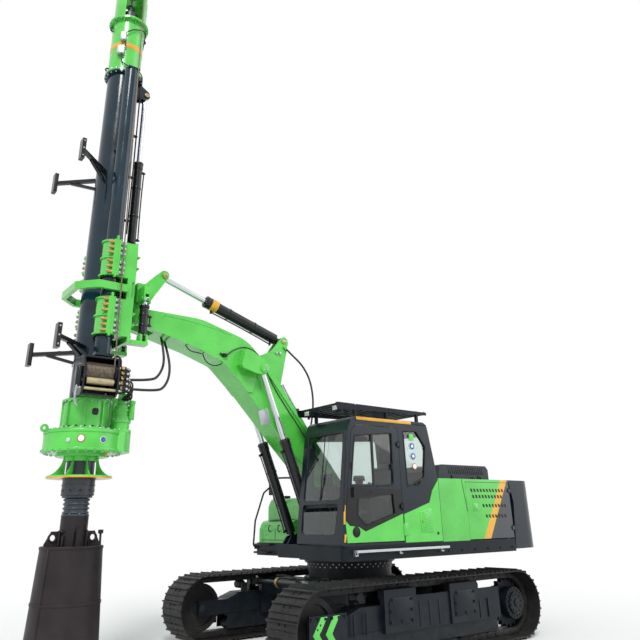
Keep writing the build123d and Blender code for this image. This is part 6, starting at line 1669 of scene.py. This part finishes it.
@dataclass
class Winch(Assembly):
    """Rope windings, pressure roller, rods, lever, valves and hoses of the hoist winch."""

    groups: ClassVar[tuple[str, ...]] = ("windings", "rods", "valves")
    body: str = "mast"
    rear: float = 4075.0
    front: float = 4525.0
    bottom: float = 3050.0
    top: float = 3530.0
    outer: float = 590.0
    drum_y: float = 410.0
    drum_z: float = 3345.0
    drum_radius: float = 128.0
    half_drum: float = 199.0

    def windings(self) -> None:
        """One layer of rope round the drum, as a helix swept by a round section."""
        turns, middle = 21, (self.rear + self.front) / 2
        span = self.half_drum - 24
        steps = turns * 14
        route = []
        for index in range(steps + 1):
            angle = 2 * pi * turns * index / steps
            route.append((middle - span + 2 * span * index / steps, self.drum_y + (self.drum_radius - 4) * cos(angle),
                    self.drum_z + (self.drum_radius - 4) * sin(angle)))
        self.fit("rope_windings", pipe(route, 9, soft=False), WIRE_ROPE, "winch_drum")
        bolts = []
        for side, x in ((1, self.front), (-1, self.rear)):
            bolts += ring_of((x, self.drum_y, self.drum_z), (side, 0, 0), 96, 12)
        self.bolts("winch_bearing_bolts", 11, bolts)
        self.fit("winch_bearing_cap",
            rod((self.front - 2, self.drum_y, self.drum_z), (self.front + 26, self.drum_y, self.drum_z), 72, bevel=6),
            CYLINDER_ENAMEL)

    def rods(self) -> None:
        """Gold sleeves on the pressure roller and the lower rod, with end nuts and the bent lever."""
        front = self.front
        y, z = self.drum_y + 122, self.drum_z - 122
        gold = [sleeve((self.rear + 56, y, z), (front - 56, y, z), 42.5, 40, bevel=1),
            sleeve((self.rear + 26, self.outer - 36, self.bottom + 76), (front - 26, self.outer - 36, self.bottom + 76),
                18, 15.5, bevel=1)]
        self.fit("winch_rollers", gold, ROLLER_PLATE)
        ends = []
        for x, direction in ((front, 1), (self.rear, -1)):
            for cy, cz, size in ((y, z, 26), (self.outer - 36, self.bottom + 76, 18)):
                ends += [rod((x - direction * 2, cy, cz), (x + direction * 26, cy, cz), size, sides=6),
                    rod((x + direction * 24, cy, cz), (x + direction * 50, cy, cz), size * 0.5, bevel=2, sides=16)]
        self.fit("winch_rod_nuts", ends, SILVER_ZINC)
        self.fit("tensioner_lever",
            pipe(((front + 30, y + 8, z + 14), (front + 52, y + 20, z - 60), (front + 60, y + 10, z - 180),
                    (front + 40, y - 20, z - 270), (front + 10, y - 30, z - 300)), 12), SILVER_ZINC)
        self.fit("winch_spring", rod((front + 33, self.outer - 60, self.drum_z - 196),
                (front + 33, self.outer - 60, self.drum_z + 34), 37, bevel=8), CYLINDER_ENAMEL)
        self.fit("winch_top_lip",
            cuboid((self.rear - 4, 250, self.top - 4), (front + 4, self.drum_y + 116, self.top + 5)), CYLINDER_ENAMEL)

    def valves(self) -> None:
        """Valve bank with cartridges, elbows and the short hoses between bank, motors and boom."""
        drum_y = self.drum_y
        face = self.rear - 150
        silver, gold, lines = [], [], []
        for index in range(5):
            z = self.bottom + 110 + index * 62
            for column, y in enumerate((drum_y - 60, drum_y + 10, drum_y + 76)):
                nut = rod((face + 3, y, z), (face - 26, y, z), 17, sides=6)
                (gold if (index + column) % 3 == 0 else silver).append(nut)
            silver.append(rod((face + 40, drum_y + 106, z), (face + 40, drum_y + 158, z), 15, sides=16))
            gold.append(rod((face + 96, drum_y + 104, z + 8), (face + 96, drum_y + 142, z + 8), 22, bevel=5, sides=20))
        self.fit("valve_silver_fittings", silver, SILVER_ZINC)
        self.fit("valve_gold_fittings", gold, GOLD_ZINC)
        for index in range(6):
            z, y = self.bottom + 120 + (index % 3) * 62, drum_y - 60 + (index // 3) * 70
            drop = 3085 - (index % 3) * 20
            lines.append(pipe(((face - 20, y, z), (face - 90, y, z - 10), (face - 110, y - 30, z - 110),
                        (face - 60 + index * 8, 270 - index * 14, drop), (3850 + index * 12, 232 - index * 8, 3120),
                        (3850, 205, 3060)), 12))
        for index in range(4):
            lines.append(pipe(((face + 96, drum_y + 40, self.drum_z + 100 + index * 4),
                        (face + 90, drum_y + 50 - index * 26, self.drum_z + 210 + index * 20),
                        (face + 150, drum_y - 20 - index * 30, self.drum_z + 250),
                        (self.rear + 20, 262, self.drum_z + 200 - index * 18)), 11))
        self.fit("winch_hoses", lines, HOSE_RUBBER)


@dataclass
class RotaryHead(Assembly):
    """Bolts, blank signs, windows, motors' fittings and the amber rim of the rotary head."""

    groups: ClassVar[tuple[str, ...]] = ("fasteners", "signs", "motors", "flange")
    body: str = "mast"
    x: float = 4240.0
    case_radius: float = 470.0
    case_bottom: float = 2424.0
    case_top: float = 2686.0
    housing: float = 278.0
    mast_bottom: float = 3063.0

    def fasteners(self) -> None:
        """Bolt circles of the case, the housing and the mast flange."""
        x = self.x
        places = ring_of((x, 0, self.case_top), UP, 436, 24, start=5)
        places += ring_of((x, 0, self.case_top + 30), UP, 306, 20, start=9)
        places += ring_of((x, 0, self.mast_bottom - 24), DOWN, 292, 20, start=9)
        places += ring_of((x, 0, self.case_bottom), DOWN, 440, 28)
        self.bolts("head_bolts", 17, places)
        rim = [sleeve((x, 0, self.case_bottom + 4), (x, 0, self.case_bottom + 40), self.case_radius + 12,
                self.case_radius - 4, bevel=4, sides=72),
            sleeve((x, 0, self.case_top - 46), (x, 0, self.case_top - 14), self.case_radius + 9, self.case_radius - 4,
                bevel=4, sides=72)]
        self.fit("case_rims", rim, LIME_CAST)
        places = []
        for index in range(30):
            way = compass(index * 12 + 4)
            if way.x > -0.55:
                places.append(facing(Vector((x, 0, self.case_bottom + 22)) + way * (self.case_radius + 12), way))
        self.bolts("case_rim_plugs", 10, places, LIME_CAST)

    def signs(self) -> None:
        """Blank round signs, the oil glass, the housing's window and its breather holes."""
        # direction in degrees, height, radius, how far its face stands out, finish, slot
        x = self.x
        for name, angle, z, size, lift, finish, slot in (("sign_ring", 68, 2560, 46, 4, RED_ENAMEL, "silver"),
                ("sign_face", 68, 2560, 37, 6, WHITE_ENAMEL, "silver"),
                ("sign_edge", 100, 2555, 40, 4, WHITE_ENAMEL, "silver"),
                ("sign_blue", 100, 2555, 34, 6, BLUE_ENAMEL, "silver"),
                ("oil_glass_rim", 50, 2540, 34, 7, LIME_CAST, "green"),
                ("oil_glass", 50, 2540, 24, 10, BLANK_PLATE, "silver")):
            self.fit(name, studs((x, 0, z), self.case_radius - 8, height=8 + lift, size=size, count=1, start=angle,
                    bevel=2, sides=40), finish, slot=slot)
        self.fit("housing_window",
            slab(SIDE, ((x - 40, 2862), (x + 10, 2862), (x + 26, 2880), (x + 26, 2928), (x + 10, 2946), (x - 40, 2946),
                    (x - 56, 2928), (x - 56, 2880)), 240, 282, bevel=6), SEAL_RUBBER)
        self.fit("housing_breathers",
            studs((x, 0, 2728), self.housing - 4, height=7, size=15, count=18, start=10, bevel=2, sides=20),
            SEAL_RUBBER)

    def motors(self) -> None:
        """Bolt circles, ports and the filter beside each drive motor, and the amber drain marker."""
        bolts, ports, filters = [], [], []
        for side in (1, -1):
            y = side * 190
            bolts += ring_of((3850, y, self.case_top + 20), UP, 118, 12)
            bolts += ring_of((3850, y, self.case_top + 150), UP, 112, 12, start=15)
            bolts += ring_of((3850, y, self.case_top + 275), UP, 98, 8)
            for z in (3110, 3050):
                ports += [rod((3780, y, z), (3742, y, z), 24, bevel=4, sides=6),
                    rod((3850, y + side * 58, z), (3850, y + side * 92, z), 20, bevel=4, sides=6)]
            filters += [rod((3760, y + side * 92, 2830), (3760, y + side * 92, 3030), 36, bevel=12, sides=28),
                rod((3760, y + side * 92, 3026), (3760, y + side * 92, 3070), 42, bevel=8, sides=28),
                cuboid((3752, y + side * 92 - 10, 3036), (3840, y + side * 50 + 10, 3060))]
        self.bolts("head_motor_bolts", 11, bolts)
        self.fit("head_motor_ports", ports, SILVER_ZINC)
        self.fit("head_filters", filters, LIME_ENAMEL)
        self.fit("drain_marker", slab(CROSS, oblong(196, 2386, 212, 2440), 3995, 4030), AMBER_ENAMEL)

    def flange(self) -> None:
        """Amber underside of the flange plate and the bolts of its gusset ring."""
        self.fit("flange_underside", sleeve((self.x, 0, 2134), (self.x, 0, 2146), 387, 205, bevel=1, sides=72),
            AMBER_ENAMEL)
        self.bolts("flange_ring_bolts", 14, ring_of((self.x, 0, self.case_bottom), DOWN, 250, 16, start=11))


@dataclass
class DrillTool(Assembly):
    """Collar, bucket latches, teeth and bands of the kelly bar and bucket."""

    groups: ClassVar[tuple[str, ...]] = ("collar", "latches", "teeth")
    body: str = "kelly"
    x: float = 4240.0
    bucket_top: float = 1390.0
    bucket_bottom: float = 210.0
    top_radius: float = 352.0
    bottom_radius: float = 415.0

    def shell_radius(self, z: float) -> float:
        """Radius of the tapered shell at a height."""
        share = (self.bucket_top - z) / (self.bucket_top - self.bucket_bottom)
        return self.top_radius + share * (self.bottom_radius - self.top_radius)

    def collar(self) -> None:
        """Dogs and rims of the lower collar and the bolts of the spring seat."""
        self.fit("collar_dogs", studs((self.x, 0, 1995), 184, height=11, size=17, count=10, start=8, bevel=3, sides=4),
            SEAL_RUBBER)
        rims = [sleeve((self.x, 0, 2050), (self.x, 0, 2066), 197, 188, sides=64),
            sleeve((self.x, 0, 1944), (self.x, 0, 1958), 195, 186, sides=64)]
        self.fit("collar_rims", rims, KELLY_PAINT)
        self.bolts("spring_seat_bolts", 8, ring_of((self.x, 0, 1734), UP, 146, 8), body="kelly_inner")

    def latches(self) -> None:
        """J-slot bars, ears' bosses, the kelly pin with its keeper and the seam of the shell."""
        x = self.x
        pieces = []
        for index in range(6):
            way, across = compass(index * 60 + 22), compass(index * 60 + 112)
            base = Vector((x, 0, 0)) + way * 172
            for dx, low, high in ((-30, 1308, 1560), (34, 1308, 1500)):
                a = base + across * dx
                pieces.append(rod((a.x, a.y, low), (a.x, a.y, high), 17, bevel=4, sides=4))
            a, b = base + across * -30, base + across * 34
            pieces.append(rod((a.x, a.y, 1552), (b.x, b.y, 1536), 15, bevel=4, sides=4))
        for side in (1, -1):
            for dy in (1, -1):
                pieces.append(sleeve((x + side * 235, dy * 13, 1480), (x + side * 235, dy * 25, 1480), 52, 33, bevel=4))
        self.fit("bucket_latches", pieces, BUCKET_PAINT, "kelly_inner")
        self.fit("kelly_pin", rod((x, -172, 1420), (x, 172, 1420), 24, bevel=4), SILVER_ZINC, "kelly_inner")
        strips = []
        for angle in (28, 208):
            way = compass(angle)
            low = Vector((x, 0, 240)) + way * (self.shell_radius(240) + 2)
            high = Vector((x, 0, 1370)) + way * (self.shell_radius(1370) + 2)
            strips.append(rod(low, high, 16, bevel=4, sides=4))
        for z in (250, 800, 1372):
            radius = self.shell_radius(z)
            strips.append(sleeve((x, 0, z - 16), (x, 0, z + 16), radius + 7, radius - 4, bevel=4, sides=72))
        self.fit("bucket_bands", strips, BUCKET_PAINT, "kelly_inner")

    def teeth(self) -> None:
        """Hard tips on the gate's teeth, wear pads on the gate's rim and the opening rod."""
        tips = []
        for index in range(5):
            y = 90 + index * (self.bottom_radius - 150) / 4
            for side in (1, -1):
                x = self.x - 50
                tips.append(slab(SIDE, ((x - 20, 116), (x + 26, 116), (x + 4, 54), (x - 12, 96)), side * y - 18,
                        side * y + 18, bevel=3))
        self.fit("tooth_tips", tips, TRACK_STEEL, "bucket_gate")
        self.fit("gate_wear_pads",
            studs((self.x, 0, 180), self.bottom_radius - 6, height=12, size=22, count=12, start=12, bevel=3, sides=8),
            BUCKET_PAINT, "bucket_gate")
        opening = [rod((self.x - 310, 190, 230), (self.x - 268, 172, 1520), 13),
            rod((self.x - 268, 172, 1516), (self.x - 268, 172, 1560), 30, bevel=6)]
        self.fit("gate_opening_rod", opening, BUCKET_PAINT, "kelly_inner")


# ---- hoses
@dataclass
class FreeHoses(Assembly):
    """The three free hoses as smooth curves through their route points."""

    body: str = "boom"
    valve_face: float = 3925.0
    # hoses that end on the mast's side of the pitch joint
    crossing: tuple[str, ...] = ("hose_boom_upper", "hose_boom_lower")

    def routes(self) -> dict[str, tuple[float, float, tuple[Point, ...]]]:
        """Radius, real length and route points of each hose, mm."""
        end = self.valve_face - 30
        return {"hose_boom_upper": (17, 1240,
                ((3330, 60, 4010), (3310, 130, 3800), (3340, 230, 3600), (3440, 330, 3430), (3570, 410, 3330),
                    (end, 430, 3302))), "hose_boom_lower": (17, 1290,
                ((3240, -20, 3980), (3190, 60, 3740), (3220, 180, 3490), (3330, 300, 3300), (3480, 390, 3200),
                    (end, 420, 3190))), "hose_tilt_left": (15, 1350,
                ((1225, 104, 4120), (1120, 135, 4020), (960, 160, 3890), (830, 180, 3680), (780, 190, 3430),
                    (790, 200, 3190), (840, 205, 2960))),}

    def swept(self, name: str, points: Sequence[Point], radius: float) -> tuple[Piece, list[Point]]:
        """Round hose along a smooth curve, turned into a mesh.

        Args:
            name: the piece's name.
            points: its route, mm.
            radius: its radius, mm.

        Returns:
            The mesh object and its centre line, in metres.
        """
        curve = curve_through(name, points, 12)
        thin = curve.evaluated_get(bpy.context.evaluated_depsgraph_get())
        line = [tuple(vertex.co) for vertex in thin.to_mesh().vertices]
        thin.to_mesh_clear()
        return thickened(curve, radius, 4), line

    def build(self) -> None:
        for node, (radius, length, points) in self.routes().items():
            piece, line = self.swept(node + "_run", points, radius)
            piece.data.materials.append(HOSE_RUBBER.material())
            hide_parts(node)
            if node in self.crossing:
                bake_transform(piece)
            else:
                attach(piece, self.body)
            self.count += 1


# ---- stage
@dataclass
class Studio:
    """Camera, plain pale floor and soft light."""

    place: Point = (7041.7, 8404.3, 1621.6)
    heading: float = -2.2209
    pitch: float = 0.3928
    roll: float = -0.0192
    focal: float = 652.0
    middle: tuple[float, float] = (309.3, 249.7)
    frame_width: float = 640.0

    def camera(self) -> None:
        """Stand the camera at the viewing point and make it the scene's."""
        data = bpy.data.cameras.new("viewing_camera")
        data.sensor_width = 36.0
        data.lens = self.focal * 36.0 / self.frame_width
        data.shift_x = (self.frame_width / 2 - self.middle[0]) / self.frame_width
        data.shift_y = (self.middle[1] - self.frame_width / 2) / self.frame_width
        data.clip_end = 200.0
        camera = bpy.data.objects.new("viewing_camera", data)
        bpy.context.collection.objects.link(camera)
        ahead = Vector((cos(self.pitch) * cos(self.heading), cos(self.pitch) * sin(self.heading), sin(self.pitch)))
        right = Vector((sin(self.heading), -cos(self.heading), 0))
        up = right.cross(ahead)
        across = cos(self.roll) * right + sin(self.roll) * up
        over = cos(self.roll) * up - sin(self.roll) * right
        turn = Matrix((across, over, -ahead)).transposed()
        camera.matrix_world = Matrix.Translation(at(*self.place)) @ turn.to_4x4()
        bpy.context.scene.camera = camera

    def floor(self) -> None:
        """Pale floor whose colour runs out into white, so that it keeps the shadow and has no edge."""
        clear_selection()
        bpy.ops.mesh.primitive_circle_add(vertices=64, radius=70, fill_type="NGON", location=(0, 0, -0.002))
        piece = bpy.context.object
        piece.name = "floor"
        made = bpy.data.materials.new("pale_studio_floor")
        made.use_nodes = True
        tree = made.node_tree
        shader = tree.nodes["Principled BSDF"]
        coords = add_node(tree, "ShaderNodeTexCoord").outputs["Object"]
        feed(tree, shader, {"Base Color": linear("#f4f4f2"), "Roughness": 0.9})
        reach = add_node(tree, "ShaderNodeVectorMath", {0: coords}, operation="LENGTH")
        far = add_node(tree, "ShaderNodeMapRange",
            {"Value": reach.outputs["Value"], "From Min": 5.0, "From Max": 12.0, "To Min": 0.0, "To Max": 1.0},
            interpolation_type="SMOOTHSTEP")
        glow = add_node(tree, "ShaderNodeEmission", {"Color": (1, 1, 1, 1), "Strength": 1.0})
        path = add_node(tree, "ShaderNodeLightPath")
        seen = add_node(tree, "ShaderNodeMath", {0: path.outputs["Is Camera Ray"], 1: far}, operation="MULTIPLY")
        mix = add_node(tree, "ShaderNodeMixShader", {"Fac": seen, 1: shader, 2: glow})
        feed(tree, tree.nodes["Material Output"], {"Surface": mix})
        piece.data.materials.append(made)
        piece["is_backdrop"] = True

    def light(self) -> None:
        """Soft sky with a white background, a broad key from the front left and a weak fill."""
        world = bpy.data.worlds.new("studio_sky")
        bpy.context.scene.world = world
        world.use_nodes = True
        tree = world.node_tree
        sky = tree.nodes["Background"]
        feed(tree, sky, {"Color": linear("#eef2f6"), "Strength": 0.62})
        white = add_node(tree, "ShaderNodeBackground", {"Color": (1, 1, 1, 1), "Strength": 1.0})
        path = add_node(tree, "ShaderNodeLightPath")
        seen = add_node(tree, "ShaderNodeMath",
            {0: path.outputs["Is Camera Ray"], 1: path.outputs["Is Transmission Ray"]}, operation="MAXIMUM")
        seen = add_node(tree, "ShaderNodeMath", {0: seen, 1: path.outputs["Is Glossy Ray"]}, operation="MAXIMUM")
        mix = add_node(tree, "ShaderNodeMixShader", {"Fac": seen, 1: sky, 2: white})
        feed(tree, tree.nodes["World Output"], {"Surface": mix})
        # key from above and in front of the left side, fill from the tail: direction, strength, spread in degrees
        for name, aim, strength, spread in (("key", (-0.45, -0.62, -0.72), 2.1, 18),
                ("fill", (0.7, -0.5, -0.35), 0.5, 40)):
            lamp = bpy.data.lights.new(name, "SUN")
            lamp.energy = strength
            lamp.angle = radians(spread)
            holder = bpy.data.objects.new(name, lamp)
            holder.matrix_world = Vector(aim).to_track_quat("-Z", "Y").to_matrix().to_4x4()
            bpy.context.collection.objects.link(holder)
        view = bpy.context.scene.view_settings
        view.view_transform = "Standard"


# finish of each CAD node that shows
CAD_FINISHES: tuple[tuple[Finish, str], ...] = (
    (TRACK_STEEL, "track_left track_right track_rollers idlers top_sheave"),
    (CHASSIS_PAINT, "track_frames final_drives centre_frame slew_frame roof_guard"),
    (SPREAD_LIVERY, "spread_cylinders"),
    (GRAPHITE_ENAMEL, "counterweight engine_hood cab_shell"),
    (BODY_LIVERY, "body_shell door_left door_right"),
    (ENGINE_CAST, "engine_block"),
    (LIME_ENAMEL, "right_side cab_side_skin door_skin boom carriage clamp_jaws mast_head"),
    (CAB_GLASS, "cab_glass door_glass"),
    (DOOR_LIVERY, "cab_door"),
    (TRIM_ABS, "cab_seat mirror_stay"),
    (ALUMINIUM, "step_rail"),
    (CYLINDER_ENAMEL, "lift_barrels tilt_barrel roll_barrel_left roll_barrel_right crowd_barrel rest_arms "
                      "winch_frame winch_drum"),
    (CHROME, "lift_rods tilt_rod roll_rod_left roll_rod_right crowd_rod"),
    (LIME_CAST, "pitch_block rotary_head discharge_flange"),
    (MAST_ENAMEL, "mast_tube"),
    (KELLY_PAINT, "kelly_outer kelly_inner kelly_spring"),
    (BUCKET_PAINT, "bucket bucket_gate"),
    (WIRE_ROPE, "hoist_rope"),
    (HOSE_RUBBER, "hose_boom_upper hose_boom_lower hose_tilt_left"),
)


def dress_frame() -> None:
    """Give the CAD nodes their materials."""
    for finish, nodes in CAD_FINISHES:
        for node in nodes.split():
            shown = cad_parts[node]
            shown.data.materials.clear()
            shown.data.materials.append(finish.material())


def note_size(key: str, sizes: dict[str, list[list[float]]]) -> None:
    """Args:
        key: "cad" or "visual".
        sizes: lowest and highest corner by key, in metres.
    """
    low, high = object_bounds()
    sizes[key] = [list(low), list(high)]


def main() -> None:
    """Build the rig's looks in order, from the stage to the ropes."""
    logging.basicConfig(level=logging.INFO, format="%(message)s")
    sizes: dict[str, list[list[float]]] = {}
    note_size("cad", sizes)
    studio = Studio()
    studio.camera()
    dress_frame()
    assemblies = (FreeHoses(), Undercarriage(), UpperStructure(), Cab(), BoomFittings(), CylinderFittings(),
        CarriageFittings(), MastFittings(), Winch(), RotaryHead(), DrillTool())
    for assembly in assemblies:
        assembly.build()
        LOG.info("%s: %d pieces", type(assembly).__name__, assembly.count)
    studio.floor()
    studio.light()
    note_size("visual", sizes)


if __name__ == "__main__":
    main()
